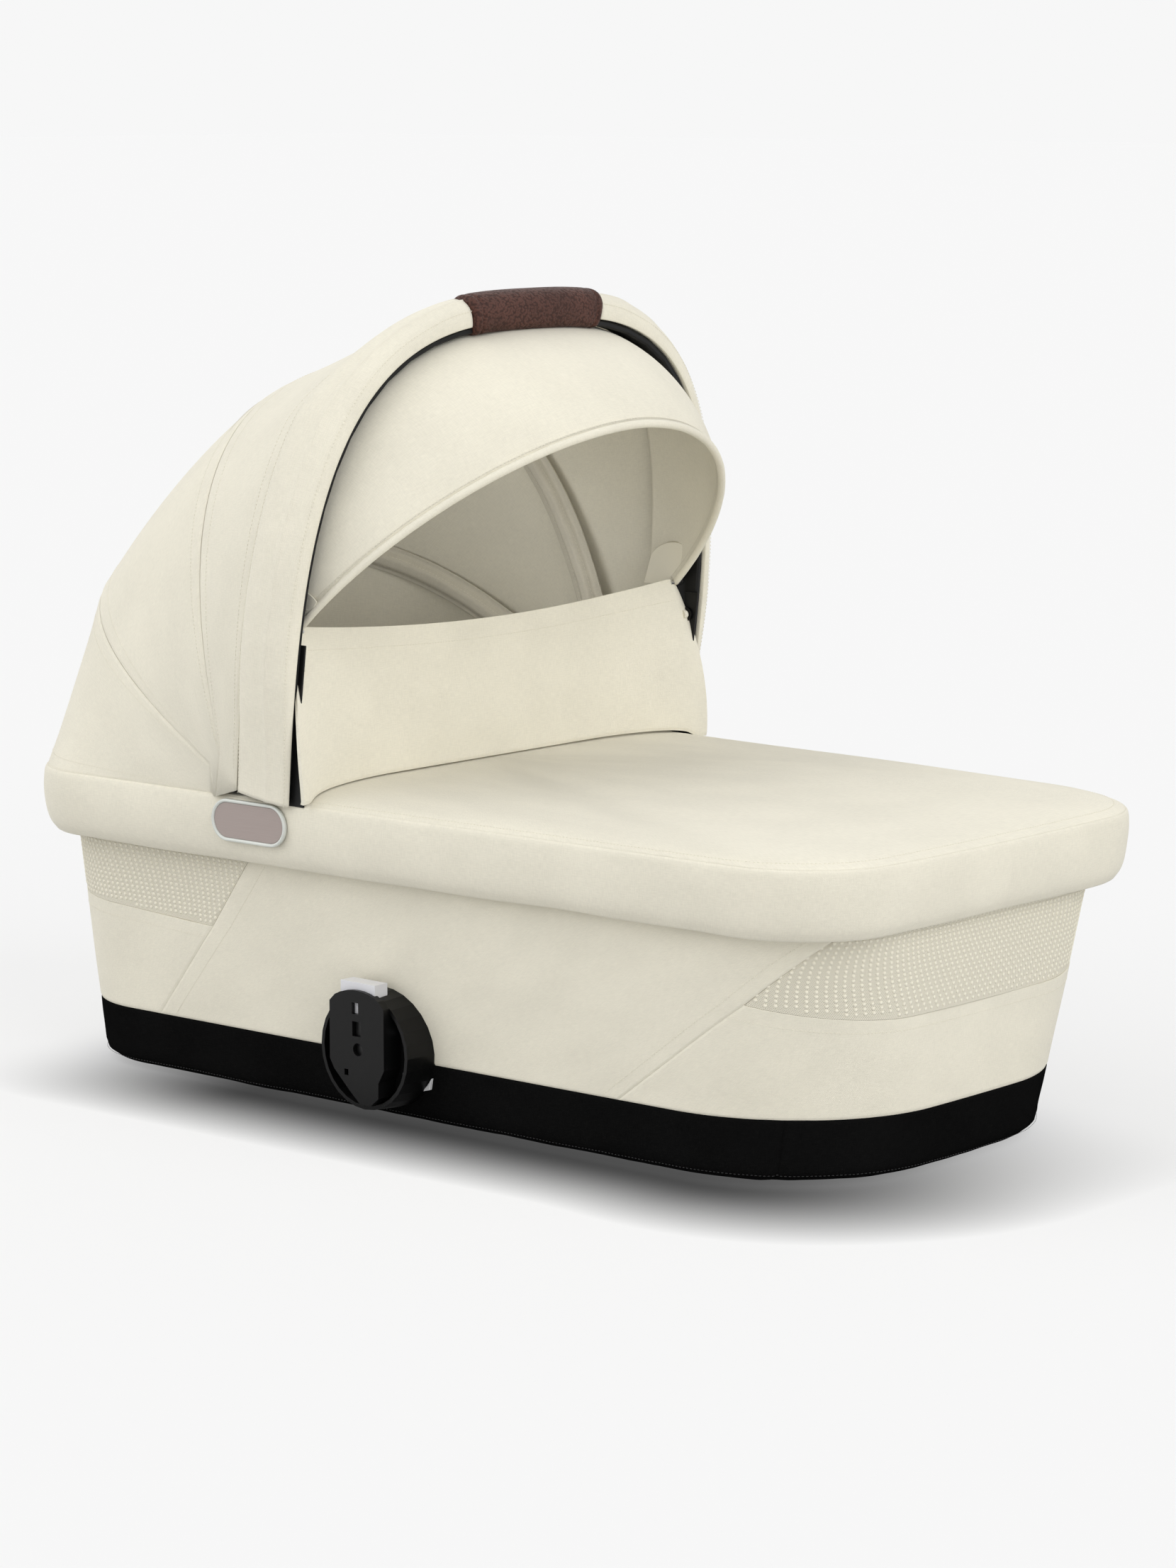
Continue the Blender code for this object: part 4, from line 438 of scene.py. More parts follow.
def ring(z, side, head, foot, head_corner, foot_corner):
    """Outline of the body at a height, anticlockwise from the middle of the foot end."""
    half_width = HALF_WIDTH - side
    foot_part = quarter(HALF_LENGTH - WIDEST_X - foot, half_width, FOOT_SIDE_RADIUS, foot_corner,
                        FOOT_END_RADIUS)
    head_part = quarter(HALF_LENGTH + WIDEST_X - head, half_width, HEAD_SIDE_RADIUS, head_corner,
                        HEAD_END_RADIUS)
    upper = np.vstack([foot_part, (head_part * (-1, 1))[-2::-1]])
    upper[:, 0] += WIDEST_X
    upper[:, 1] *= 1 - TAPER * upper[:, 0]
    lower = (upper[1:-1] * (1, -1))[::-1]
    flat = np.vstack([upper, lower])
    return np.column_stack([flat, np.full(len(flat), z)])


def rim_ring(z, inset):
    return ring(z, inset, inset, inset, RIM_HEAD_CORNER - inset, RIM_FOOT_CORNER - inset)


def wall_level(z):
    """Insets and corner radii of the side wall at a height."""
    table = np.array(WALL_LEVELS)
    if z > table[-1, 0]:
        share = (z - table[-2, 0]) / (table[-1, 0] - table[-2, 0])
        return mix(table[-2, 1:], table[-1, 1:], share)
    return np.array([np.interp(z, table[:, 0], table[:, i]) for i in range(1, 6)])


def wall_ring(z, depth):
    """Outline that lies at a depth behind the outer face of the side wall."""
    side, head, foot, head_corner, foot_corner = wall_level(z)
    return ring(z, side + depth, head + depth, foot + depth, head_corner - depth, foot_corner - depth)


def side_y(x, inset):
    """Distance from the middle to the long side of a ring with this inset, at x."""
    onward = x - WIDEST_X
    bulge = FOOT_SIDE_RADIUS - math.sqrt(FOOT_SIDE_RADIUS ** 2 - onward * onward)
    return (HALF_WIDTH - inset - bulge) * (1 - TAPER * x)


class Loop:
    """Closed line measured from the middle of the foot end, over the far side to the head and back."""

    def __init__(self, points):
        self.points = np.vstack([points, points[:1]])
        self.reach = reach_along(self.points)
        self.length = self.reach[-1]

    def at(self, place):
        place = np.asarray(place) % self.length
        return np.stack([np.interp(place, self.reach, self.points[:, i]) for i in range(3)], axis=-1)

    def where(self, x):
        """Distance to where the far side passes x."""
        half = self.reach <= self.length / 2 + GAP
        return np.interp(-x, -self.points[half, 0], self.reach[half])


def arch(x, z, angle, half, reach, square, splay=0.0, start=0.0, steps=160):
    """Points along an arch over the body, from -Y to +Y, evenly spaced."""
    up = np.array((-math.sin(angle), 0, math.cos(angle)))
    turn_start = math.asin((start / reach) ** (square / 2))
    turn = np.linspace(turn_start, math.pi - turn_start, 12 * steps + 1)
    across = -np.copysign(np.abs(np.cos(turn)) ** (2 / square), np.cos(turn)) * half
    rise = reach * np.abs(np.sin(turn)) ** (2 / square)
    path = np.outer(rise, up)
    path[:, 0] += x
    path[:, 1] += across * (1 + splay * rise / reach)
    path[:, 2] += z
    return even(path, steps)


def arch_frames(path, angle):
    """Places, the direction across the arch's plane, and the outward directions."""
    across = np.array((math.cos(angle), 0, math.sin(angle)))
    outward = unit(np.cross(np.broadcast_to(across, path.shape), np.gradient(path, axis=0)))
    return path, across, outward


def handle_size(z):
    """Width of the sleeve, its thickness and width of the core at each height."""
    table = np.array(HANDLE_STATIONS)
    z = np.clip(z, table[0, 0], table[-1, 0])
    at = np.clip(np.searchsorted(table[:, 0], z, side="right") - 1, 0, len(table) - 2)
    share = smooth((z - table[at, 0]) / (table[at + 1, 0] - table[at, 0]))
    return [mix(table[at, i], table[at + 1, i], share) for i in (1, 2, 3)]


def handle_frames(steps=240):
    path = arch(HANDLE_X, HANDLE_Z, HANDLE_ANGLE, HANDLE_HALF, HANDLE_REACH, HANDLE_SQUARE,
                splay=HANDLE_SPLAY, start=HANDLE_FOOT_Z - HANDLE_Z, steps=steps)
    return arch_frames(path, HANDLE_ANGLE)


def rippled(points, scale, seed):
    """Soft noise at each point, from -1 to 1."""
    flat = points.reshape(-1, 3)
    shift = Vector((seed * 3.7, seed * 1.3, seed * 5.1))
    values = [noise.noise(Vector(p) * scale + shift) for p in flat]
    return np.array(values).reshape(points.shape[:-1])


def ridge(distance, width):
    """1 on a line and falling off on both sides of it."""
    return np.exp(-(distance / width) ** 2)


def close_to_edges(count, length):
    """Shares from 0 to 1 along a strip, with finer steps where the cloth rolls into a seam."""
    fine = np.array(SEAM_STEPS) / length
    middle = np.linspace(fine[-1], 1 - fine[-1], count + 1)
    return np.concatenate([fine[:-1], middle, 1 - fine[-2::-1]])


def normals_of(points, centre, wrap=False):
    """Outward normals of a grid of points."""
    if wrap:
        onward = np.roll(points, -1, axis=1) - np.roll(points, 1, axis=1)
    else:
        onward = np.gradient(points, axis=1)
    normal = unit(np.cross(onward, np.gradient(points, axis=0)))
    if (normal * (points - np.array(centre))).sum() < 0:
        normal = -normal
    return normal


def edge_distances(points):
    """Distance of each point of a grid from its first and last row and column."""
    across = np.linalg.norm(np.diff(points, axis=1), axis=2)
    upward = np.linalg.norm(np.diff(points, axis=0), axis=2)
    left = np.hstack([np.zeros((len(points), 1)), np.cumsum(across, axis=1)])
    low = np.vstack([np.zeros((1, points.shape[1])), np.cumsum(upward, axis=0)])
    return {"left": left, "right": left[:, -1:] - left, "low": low, "high": low[-1:] - low}


def sewn(points, centre, seams=(), depth=None, wrap=False, soft=0.0, scale=9.0, seed=1, pucker=0.00025):
    """Grid of points whose seamed edges roll in, with slight puckers there and soft waves all over."""
    sewing = bpy.context.scene.carrycot_sewing
    depth = sewing.roll_depth if depth is None else depth
    normal = normals_of(points, centre, wrap)
    shift = soft * rippled(points, scale, seed)
    if seams:
        distances = edge_distances(points)
        near = np.minimum.reduce([distances[s] for s in seams])
        shift = shift * smooth(near / SEAM_CALM)
        shift -= depth * (1 - smooth(near / sewing.roll_width))
        puckers = np.exp(-near / PUCKER_WIDTH) * smooth(near / 0.002)
        shift += pucker * puckers * rippled(points, PUCKER_SCALE, seed + 7)
    return points + normal * shift[..., None]


def object_from(name, data):
    """Object in the scene for a mesh, lamp or camera."""
    made = bpy.data.objects.new(name, data)
    bpy.context.scene.collection.objects.link(made)
    return made


def piece_from(name, points, centre, wrap=False):
    """Mesh object from a grid of points, with a UV map in metres and its faces away from the centre."""
    rows, columns = points.shape[:2]
    across = np.linalg.norm(np.diff(points, axis=1), axis=2).mean(axis=0)
    upward = np.linalg.norm(np.diff(points, axis=0), axis=2).mean(axis=1)
    u = np.concatenate(([0.0], np.cumsum(across)))
    v = np.concatenate(([0.0], np.cumsum(upward)))
    last = columns if wrap else columns - 1
    if wrap:
        u = np.append(u, u[-1] + np.linalg.norm(points[:, 0] - points[:, -1], axis=1).mean())
    i, j = np.meshgrid(np.arange(rows - 1), np.arange(last), indexing="ij")
    i, j = i.ravel(), j.ravel()
    k = (j + 1) % columns
    this, above = i * columns, (i + 1) * columns
    faces = np.stack([this + j, this + k, above + k, above + j], axis=1)
    corners = np.stack([np.stack([u[j], v[i]], 1), np.stack([u[j + 1], v[i]], 1),
                        np.stack([u[j + 1], v[i + 1]], 1), np.stack([u[j], v[i + 1]], 1)], axis=1)
    flat = points.reshape(-1, 3)
    a, b, c, d = (flat[faces[:, n]] for n in range(4))
    turned = (np.cross(c - a, d - b) * ((a + b + c + d) / 4 - np.array(centre))).sum()
    if turned < 0:
        faces, corners = faces[:, ::-1], corners[:, ::-1]
    mesh = bpy.data.meshes.new(name)
    mesh.from_pydata(flat.tolist(), [], faces.tolist())
    layer = mesh.uv_layers.new(name="UVMap")
    layer.data.foreach_set("uv", np.ascontiguousarray(corners, dtype=np.float32).ravel())
    mesh.shade_smooth()
    return object_from(name, mesh)


def thicken(piece, thickness):
    step = piece.modifiers.new("Thickness", "SOLIDIFY")
    step.thickness = thickness
    step.offset = -1
    return piece


def soften(piece, width, segments=2, angle=math.radians(32)):
    step = piece.modifiers.new("Edges", "BEVEL")
    step.width = width
    step.segments = segments
    step.limit_method = "ANGLE"
    step.angle_limit = angle
    step.harden_normals = True
    return piece


def plain(piece):
    """Turn the evaluated object into a plain mesh at the origin."""
    graph = bpy.context.evaluated_depsgraph_get()
    mesh = bpy.data.meshes.new_from_object(piece.evaluated_get(graph), depsgraph=graph)
    mesh.transform(piece.matrix_world)
    name = piece.name
    old = piece.data
    bpy.data.objects.remove(piece)
    if old.users == 0:
        (bpy.data.curves if isinstance(old, bpy.types.Curve) else bpy.data.meshes).remove(old)
    mesh.name = name
    return object_from(name, mesh)


def painted(piece, material):
    """Give a piece one material."""
    piece.data.materials.clear()
    piece.data.materials.append(material)
    return piece


def finished(piece, material, body, slot, *nodes):
    """Give a piece its material and body, and hide the CAD nodes that it stands for; the slot is not used.
    """
    painted(piece, material)
    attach(piece, body)
    if nodes:
        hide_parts(*nodes)
    return piece


def declare_cloth(points):
    """Measure the longest row and the longest column of a grid, and keep neither."""
    width = float(np.linalg.norm(np.diff(points, axis=1), axis=2).sum(axis=1).max())
    length = float(np.linalg.norm(np.diff(points, axis=0), axis=2).sum(axis=0).max())


def between_bodies(piece, shares, low_body, high_body, start, end):
    """Bake a piece's place into its mesh and turn its shares of the way between two bodies into a flat
    array.
    """
    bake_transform(piece)
    shares = np.asarray(shares, np.float32).ravel()


class Wire:
    """Socket of a shader that can be used in sums: each operation adds its Math node."""

    def __init__(self, nodes, socket):
        self.nodes = nodes
        self.socket = socket

    def sum(self, operation, *values):
        return self.nodes.node("ShaderNodeMath", {"operation": operation}, dict(enumerate(values)))

    def __add__(self, other):
        return self.sum("ADD", self, other)

    def __radd__(self, other):
        return self.sum("ADD", other, self)

    def __sub__(self, other):
        return self.sum("SUBTRACT", self, other)

    def __rsub__(self, other):
        return self.sum("SUBTRACT", other, self)

    def __mul__(self, other):
        return self.sum("MULTIPLY", self, other)

    def __rmul__(self, other):
        return self.sum("MULTIPLY", other, self)

    def __truediv__(self, other):
        return self.sum("DIVIDE", self, other)

    def __pow__(self, other):
        return self.sum("POWER", self, other)

    def __abs__(self):
        return self.sum("ABSOLUTE", self)

    def above(self, value):
        return self.sum("MAXIMUM", self, value)

    def below(self, value):
        return self.sum("MINIMUM", self, value)

    def wave(self, period):
        """Wave from 0 to 1 with this period."""
        return self.sum("SINE", self * (2 * math.pi / period)) * 0.5 + 0.5

    def within(self, low, high):
        """0 below low, 1 above high and smooth between."""
        return self.nodes.node("ShaderNodeMapRange", {"interpolation_type": "SMOOTHSTEP"},
                               Value=self, From_Min=low, From_Max=high)


class Nodes:
    """Node tree of a material or of the world."""

    def __init__(self, tree):
        self.tree = tree

    def node(self, kind, settings=(), placed=(), output=0, **values):
        """Any node: its settings first, then the values or links of its sockets, by place or by name."""
        made = self.tree.nodes.new(kind)
        for setting, value in dict(settings).items():
            setattr(made, setting, value)
        for place, value in dict(placed).items():
            self.feed(made.inputs[place], value)
        for socket, value in values.items():
            self.feed(made.inputs[socket.replace("_", " ")], value)
        return Wire(self, made.outputs[output])

    def feed(self, socket, value):
        """Link a socket to a wire or set its value; a colour may leave out its alpha."""
        if isinstance(value, Wire):
            self.tree.links.new(value.socket, socket)
        elif socket.type == "RGBA":
            socket.default_value = (*value[:3], 1)
        else:
            socket.default_value = value

    def outputs(self, wire, *names):
        """The outputs of a wire's node: the named ones, or all."""
        found = wire.socket.node.outputs
        return [Wire(self, found[name]) for name in names or range(len(found))]

    def sees_backdrop(self):
        """1 for a ray from the camera, and for one that comes by way of gloss or glass."""
        rays = self.node("ShaderNodeLightPath")
        camera, gloss, glass = self.outputs(rays, "Is Camera Ray", "Is Glossy Ray", "Is Transmission Ray")
        return camera.above(gloss).above(glass)


class Finish(Nodes):
    """Material built from nodes round one Principled shader."""

    def __init__(self, name, **sockets):
        self.material = bpy.data.materials.new(name)
        self.material.use_nodes = True
        super().__init__(self.material.node_tree)
        self.shader = self.tree.nodes["Principled BSDF"]
        self.set(**sockets)

    def place(self, output="Object"):
        """Coordinates on the piece: Object in metres of the model, UV in metres of the cloth."""
        return self.node("ShaderNodeTexCoord", output=output)

    def parts(self, vector):
        return self.outputs(self.node("ShaderNodeSeparateXYZ", placed={0: vector}))

    def scaled(self, vector, x, y, z):
        return self.node("ShaderNodeMapping", Vector=vector, Scale=(x, y, z))

    def grain(self, vector, scale, detail=2.0, roughness=0.5):
        return self.node("ShaderNodeTexNoise", Vector=vector, Scale=scale, Detail=detail,
                         Roughness=roughness)

    def cells(self, vector, scale, feature="F1"):
        return self.node("ShaderNodeTexVoronoi", {"feature": feature}, Vector=vector, Scale=scale)

    def blend(self, factor, first, second):
        """Colour between two colours, on the Mix node's sockets for colour."""
        return self.node("ShaderNodeMix", {"data_type": "RGBA"}, {0: factor, 6: first, 7: second}, output=2)

    def bump(self, height, distance, strength=1.0, **below):
        return self.node("ShaderNodeBump", Height=height, Distance=distance, Strength=strength, **below)

    def set(self, **sockets):
        for socket, value in sockets.items():
            self.feed(self.shader.inputs[socket.replace("_", " ")], value)
        return self.material


def shade(colour, factor):
    return tuple(min(1.0, c * factor) for c in colour)


def cloth_finish(name, colour, weave, spread=0.09, on_uv=True, roughness=0.86, sheen=0.18, gloss=0.25):
    """Twill of fine threads with a slight melange, on the piece's own UV map or across the model."""
    made = Finish(name, Sheen_Weight=sheen, Sheen_Roughness=0.45, Specular_IOR_Level=gloss)
    place = made.place("UV" if on_uv else "Object")
    u, v, w = made.parts(place)
    if not on_uv:
        v = v + w
    rib = (u + v).wave(weave)
    warp = u.wave(weave * 0.5)
    weft = v.wave(weave * 0.5)
    threads = rib * 0.55 + warp * weft * 0.45
    long_slubs = made.grain(made.scaled(place, 160, 1500, 1), 1.0, 2.0)
    short_slubs = made.grain(made.scaled(place, 1500, 160, 1), 1.0, 2.0)
    melange = (long_slubs + short_slubs) * 0.5
    drift = made.grain(place, 14.0, 3.0)
    tone = (melange.within(0.30, 0.70) * 0.6 + drift.within(0.25, 0.75) * 0.4)
    body = made.blend(tone, shade(colour, 1 - spread), shade(colour, 1 + spread))
    base = made.blend(threads * 0.22, body, shade(colour, 0.86))
    low = made.bump(melange, 0.0005, 0.25)
    return made.set(Base_Color=base, Roughness=roughness + (threads - 0.5) * 0.06,
                    Normal=made.bump(threads, 0.00022, 0.55, Normal=low))


def thread_finish(name, colour):
    made = Finish(name, Sheen_Weight=0.15, Specular_IOR_Level=0.35)
    place = made.place()
    strands = made.grain(place, 4200.0, 1.0)
    return made.set(Base_Color=made.blend(strands, shade(colour, 0.86), shade(colour, 1.06)),
                    Roughness=0.72, Normal=made.bump(strands, 0.0001, 0.4))


def vent_finish(name, colour, knot):
    """Ground of the vent mesh: rows of small holes between knitted ribs, the holes as painted shade, darker
    than the knit.
    """
    made = Finish(name, Sheen_Weight=0.1, Specular_IOR_Level=0.25)
    u, v, _ = made.parts(made.place("UV"))
    # painted shade: the holes are only darker colour, standing in for the shade seen through a real mesh
    holes = (u.wave(knot * 0.5) * v.wave(knot * 0.42)).within(0.35, 0.80)
    yarn = made.grain(made.place("UV"), 2600.0, 2.0)
    knitted = made.blend(yarn, shade(colour, 1.02), shade(colour, 1.24))
    base = made.blend(holes, knitted, shade(colour, 0.72))
    return made.set(Base_Color=base, Roughness=0.9,
                    Normal=made.bump((1 - holes) + yarn * 0.2, 0.0006, 0.8))


def plastic_finish(name, colour, roughness, grain):
    """Moulded plastic with a fine spark-eroded grain, faint flow marks and rubbed places."""
    dark = max(colour) < 0.1
    made = Finish(name, Specular_IOR_Level=0.20 if dark else 0.5)
    place = made.place()
    pits = made.grain(place, 2400.0, 2.0)
    flow = made.grain(place, 22.0, 3.0)
    rubbed = made.grain(place, 60.0, 4.0, 0.6).within(0.55, 0.75)
    base = made.blend(flow, shade(colour, 0.85), shade(colour, 1.2))
    return made.set(Base_Color=made.blend(rubbed * 0.35, base, shade(colour, 1.9 if dark else 1.04)),
                    Roughness=roughness + (flow - 0.5) * 0.12 - rubbed * 0.05,
                    Normal=made.bump(pits, 0.00012, grain))


def slider_finish(name, colour, hidden):
    """Pale moulded slider, painted black below a height, where it lies behind the plate."""
    made = Finish(name, Specular_IOR_Level=0.45)
    place = made.place()
    height = made.parts(place)[2]
    pits = made.grain(place, 2000.0, 2.0)
    flow = made.grain(place, 40.0, 3.0)
    pale = made.blend(flow, shade(colour, 0.95), shade(colour, 1.04))
    shown = height.within(SLIDER_DARK_BELOW, SLIDER_PALE_ABOVE)
    return made.set(Base_Color=made.blend(shown, shade(hidden, 0.8), pale),
                    Roughness=0.34 + flow * 0.08, Normal=made.bump(pits, 0.0001, 0.15))


def metal_finish(name, colour, roughness):
    made = Finish(name, Metallic=1.0)
    place = made.place()
    drawn = made.grain(made.scaled(place, 40, 2600, 40), 1.0, 2.0)
    return made.set(Base_Color=made.blend(drawn, shade(colour, 0.9), shade(colour, 1.08)),
                    Roughness=roughness + (drawn - 0.5) * 0.15, Normal=made.bump(drawn, 0.00005, 0.3))


def leather_finish(name, colour):
    """Pebbled leather, darker in its creases and slightly rubbed on top of the grain."""
    made = Finish(name, Specular_IOR_Level=0.20, Coat_Weight=0.02, Coat_Roughness=0.35)
    place = made.place()
    swirl = made.grain(place, 160.0, 2.0)
    pebbles = made.cells(made.scaled(place, 1, 0.8, 1), 620.0, "SMOOTH_F1")
    fine = made.cells(place, 1500.0)
    wide = made.grain(place, 30.0, 3.0)
    height = (1 - pebbles.within(0.1, 0.75)) * 0.75 + (1 - fine) * 0.15 + swirl * 0.3
    creases = height.within(0.25, 0.75)
    raised = made.blend(wide.within(0.35, 0.7), shade(colour, 0.92), shade(colour, 1.30))
    base = made.blend(creases, shade(colour, 0.55), raised)
    return made.set(Base_Color=base, Roughness=0.60 - creases * 0.14,
                    Normal=made.bump(height, 0.00055, 0.75))


def badge_finish(name, colour):
    made = Finish(name, Specular_IOR_Level=0.5, Coat_Weight=0.25, Coat_Roughness=0.12)
    place = made.place()
    brushed = made.grain(made.scaled(place, 60, 60, 2200), 1.0, 2.0)
    return made.set(Base_Color=made.blend(brushed, shade(colour, 0.94), shade(colour, 1.06)),
                    Roughness=0.34 + brushed * 0.1, Normal=made.bump(brushed, 0.00003, 0.3))


MADE = {}


def finish(kind):
    """The shared material of a finish, made once."""
    if kind in MADE:
        return MADE[kind]
    colours = bpy.context.scene.carrycot_colours
    sewing = bpy.context.scene.carrycot_sewing
    cream, black = tuple(colours.cream), tuple(colours.black)
    makers = {
        "cream": lambda: cloth_finish("cream_fabric", cream, sewing.weave),
        "cream_folded": lambda: cloth_finish("cream_fabric_folded", cream, sewing.weave, on_uv=False),
        "cream_thread": lambda: thread_finish("cream_thread", shade(cream, 1.02)),
        "vent": lambda: vent_finish("vent_mesh", tuple(colours.mesh), sewing.knot * 0.5),
        "knots": lambda: thread_finish("vent_knots", shade(cream, 1.12)),
        "lining": lambda: cloth_finish("lining_fabric", tuple(colours.lining), sewing.weave),
        "mattress": lambda: cloth_finish("mattress_cover", (0.80, 0.79, 0.75), 0.0014, on_uv=False),
        "boot": lambda: cloth_finish("black_fabric", black, 0.0010, spread=0.35, roughness=0.9, sheen=0.0,
                                     gloss=0.0),
        "black_thread": lambda: thread_finish("black_thread", (0.02, 0.02, 0.02)),
        "plastic": lambda: plastic_finish("black_plastic", tuple(colours.plastic), 0.36, 0.25),
        "core": lambda: plastic_finish("arch_core", (0.0075, 0.0075, 0.0078), 0.50, 0.4),
        "slider": lambda: slider_finish("slider_plastic", tuple(colours.slider), tuple(colours.plastic)),
        "slider_rim": lambda: plastic_finish("pale_plastic", (0.62, 0.62, 0.63), 0.4, 0.15),
        "badge_rim": lambda: plastic_finish("badge_rim", (0.62, 0.64, 0.60), 0.25, 0.08),
        "badge_face": lambda: badge_finish("badge_face", tuple(colours.badge)),
        "leather": lambda: leather_finish("leather", tuple(colours.leather)),
        "leather_thread": lambda: thread_finish("leather_thread", shade(tuple(colours.leather), 1.7)),
        "steel": lambda: metal_finish("steel", (0.56, 0.56, 0.57), 0.28),
        "aluminium": lambda: metal_finish("aluminium", (0.72, 0.73, 0.74), 0.34),
        "board": lambda: plastic_finish("board", (0.30, 0.24, 0.18), 0.75, 0.5),
        "rubber": lambda: plastic_finish("foot_rubber", (0.02, 0.02, 0.02), 0.72, 0.5),
    }
    MADE[kind] = makers[kind]()
    return MADE[kind]


def tree_sockets(tree, inputs):
    """Give a node group its geometry sockets and its named inputs; returns their identifiers."""
    face = tree.interface
    face.new_socket("Geometry", in_out="INPUT", socket_type="NodeSocketGeometry")
    face.new_socket("Geometry", in_out="OUTPUT", socket_type="NodeSocketGeometry")
    return {name: face.new_socket(name, in_out="INPUT", socket_type=kind).identifier
            for name, kind in inputs}


def along_lines(nodes, given):
    """Points at the pitch along the lines of a mesh, and the direction of the line at each."""
    line = nodes.new("GeometryNodeMeshToCurve")
    evenly = nodes.new("GeometryNodeResampleCurve")
    evenly.mode = "LENGTH"
    links = nodes.id_data.links
    links.new(given.outputs["Geometry"], line.inputs["Mesh"])
    links.new(line.outputs["Curve"], evenly.inputs["Curve"])
    links.new(given.outputs["Pitch"], evenly.inputs["Length"])
    return evenly.outputs["Curve"], nodes.new("GeometryNodeInputTangent").outputs["Tangent"]


def on_points(nodes, given):
    """The mesh's own points, and the direction that each one faces."""
    facing = nodes.new("GeometryNodeInputNamedAttribute")
    facing.data_type = "FLOAT_VECTOR"
    facing.inputs["Name"].default_value = "facing"
    return given.outputs["Geometry"], facing.outputs["Attribute"]


def bead_tree(name, inputs, laid, axis, sizes):
    """Geometry Nodes: a bead on each laid point, its axis turned that way and its sizes as given."""
    if name in MADE:
        return MADE[name]
    tree = bpy.data.node_groups.new(name, "GeometryNodeTree")
    sockets = tree_sockets(tree, [(size, "NodeSocketFloat") for size in inputs]
                           + [("Material", "NodeSocketMaterial")])
    new, link = tree.nodes.new, tree.links.new
    given, result = new("NodeGroupInput"), new("NodeGroupOutput")
    points, direction = laid(tree.nodes, given)
    turn = new("FunctionNodeAlignRotationToVector")
    turn.axis = axis
    bead = new("GeometryNodeMeshIcoSphere")
    bead.inputs["Subdivisions"].default_value = 1
    bead.inputs["Radius"].default_value = 0.5
    size = new("ShaderNodeCombineXYZ")
    put = new("GeometryNodeInstanceOnPoints")
    real = new("GeometryNodeRealizeInstances")
    coloured = new("GeometryNodeSetMaterial")
    link(points, put.inputs["Points"])
    link(direction, turn.inputs["Vector"])
    link(turn.outputs["Rotation"], put.inputs["Rotation"])
    link(bead.outputs["Mesh"], put.inputs["Instance"])
    for way, measure in zip("XYZ", sizes):
        link(given.outputs[measure], size.inputs[way])
    link(size.outputs["Vector"], put.inputs["Scale"])
    link(put.outputs["Instances"], real.inputs["Geometry"])
    link(real.outputs["Geometry"], coloured.inputs["Geometry"])
    link(given.outputs["Material"], coloured.inputs["Material"])
    link(coloured.outputs["Geometry"], result.inputs["Geometry"])
    MADE[name] = (tree, sockets)
    return MADE[name]


def line_piece(name, lines, closed=False):
    """Object whose edges follow lines of points."""
    points, edges = [], []
    for line in lines:
        first = len(points)
        points.extend(np.asarray(line).tolist())
        edges.extend((first + i, first + i + 1) for i in range(len(line) - 1))
        if closed:
            edges.append((len(points) - 1, first))
    mesh = bpy.data.meshes.new(name)
    mesh.from_pydata(points, edges, [])
    return object_from(name, mesh)


def with_tree(piece, tree, sockets, values):
    """Run a node group on an object and keep the plain mesh that it makes."""
    step = piece.modifiers.new("Made", "NODES")
    step.node_group = tree
    for name, value in values.items():
        step[sockets[name]] = value
    made = plain(piece)
    made.data.shade_smooth()
    return made


def stitch_beads(name, lines, thread, closed=False):
    """Plain mesh of the stitches along each line of points."""
    sewing = bpy.context.scene.carrycot_sewing
    tree, sockets = bead_tree("Stitches", ("Pitch", "Length", "Thread"), along_lines, "X",
                              ("Length", "Thread", "Thread"))
    return with_tree(line_piece(name, lines, closed), tree, sockets, {
        "Pitch": sewing.pitch, "Length": sewing.stitch, "Thread": sewing.thread,
        "Material": finish(thread)})


def stitches(name, lines, thread, body, slot, closed=False):
    """Row of stitches along each line of points, riding on one body."""
    return finished(stitch_beads(name, lines, thread, closed), finish(thread), body, slot)


def lifted(points, normals, height):
    return points + normals * height


class WallPanel:
    """Part of the side wall between two seams, which can be cut at any height."""

    def __init__(self, begin, end, count):
        self.heights = np.linspace(BOOT_TOP, COVER_TOP, 72)
        rows = []
        length = abs(end(Loop(wall_ring(BOOT_TOP, 0))) - begin(Loop(wall_ring(BOOT_TOP, 0))))
        self.shares = close_to_edges(count, length)
        for z in self.heights:
            loop = Loop(wall_ring(z, 0))
            rows.append(loop.at(mix(begin(loop), end(loop), self.shares)))
        self.grid = np.array(rows)

    def at(self, column, z):
        return np.stack([np.interp(z, self.heights, self.grid[:, column, i]) for i in range(3)], axis=-1)

    def height_of(self, edge, column):
        """Height at which a column meets a lower edge given as X and Z."""
        table = np.array(sorted(edge))
        z = table[:, 1].mean()
        for _ in range(6):
            z = np.interp(self.at(column, z)[0], table[:, 0], table[:, 1])
        return z

    def between(self, low, high, count):
        """Grid of the panel from one height to another, each a number or an edge."""
        columns = []
        for column in range(len(self.shares)):
            ends = [e if isinstance(e, float) else self.height_of(e, column) for e in (low, high)]
            shares = close_to_edges(count, abs(ends[1] - ends[0]))
            columns.append(self.at(column, mix(ends[0], ends[1], shares)))
        return np.array(columns).transpose(1, 0, 2)


def seam_x(seam, z):
    table = np.array(seam)
    return np.interp(z, table[:, 1], table[:, 0])


def foot_edge(loop):
    return loop.where(seam_x(FOOT_SEAM, loop.points[0, 2]))


def head_edge(loop):
    return loop.where(seam_x(HEAD_SEAM, loop.points[0, 2]))


def cover_panels():
    """The four panels of the side cover by name."""
    return {
        "foot": WallPanel(lambda loop: -foot_edge(loop), foot_edge, 150),
        "right": WallPanel(foot_edge, head_edge, 130),
        "head": WallPanel(head_edge, lambda loop: loop.length - head_edge(loop), 130),
        "left": WallPanel(lambda loop: loop.length - head_edge(loop),
                          lambda loop: loop.length - foot_edge(loop), 130),
    }


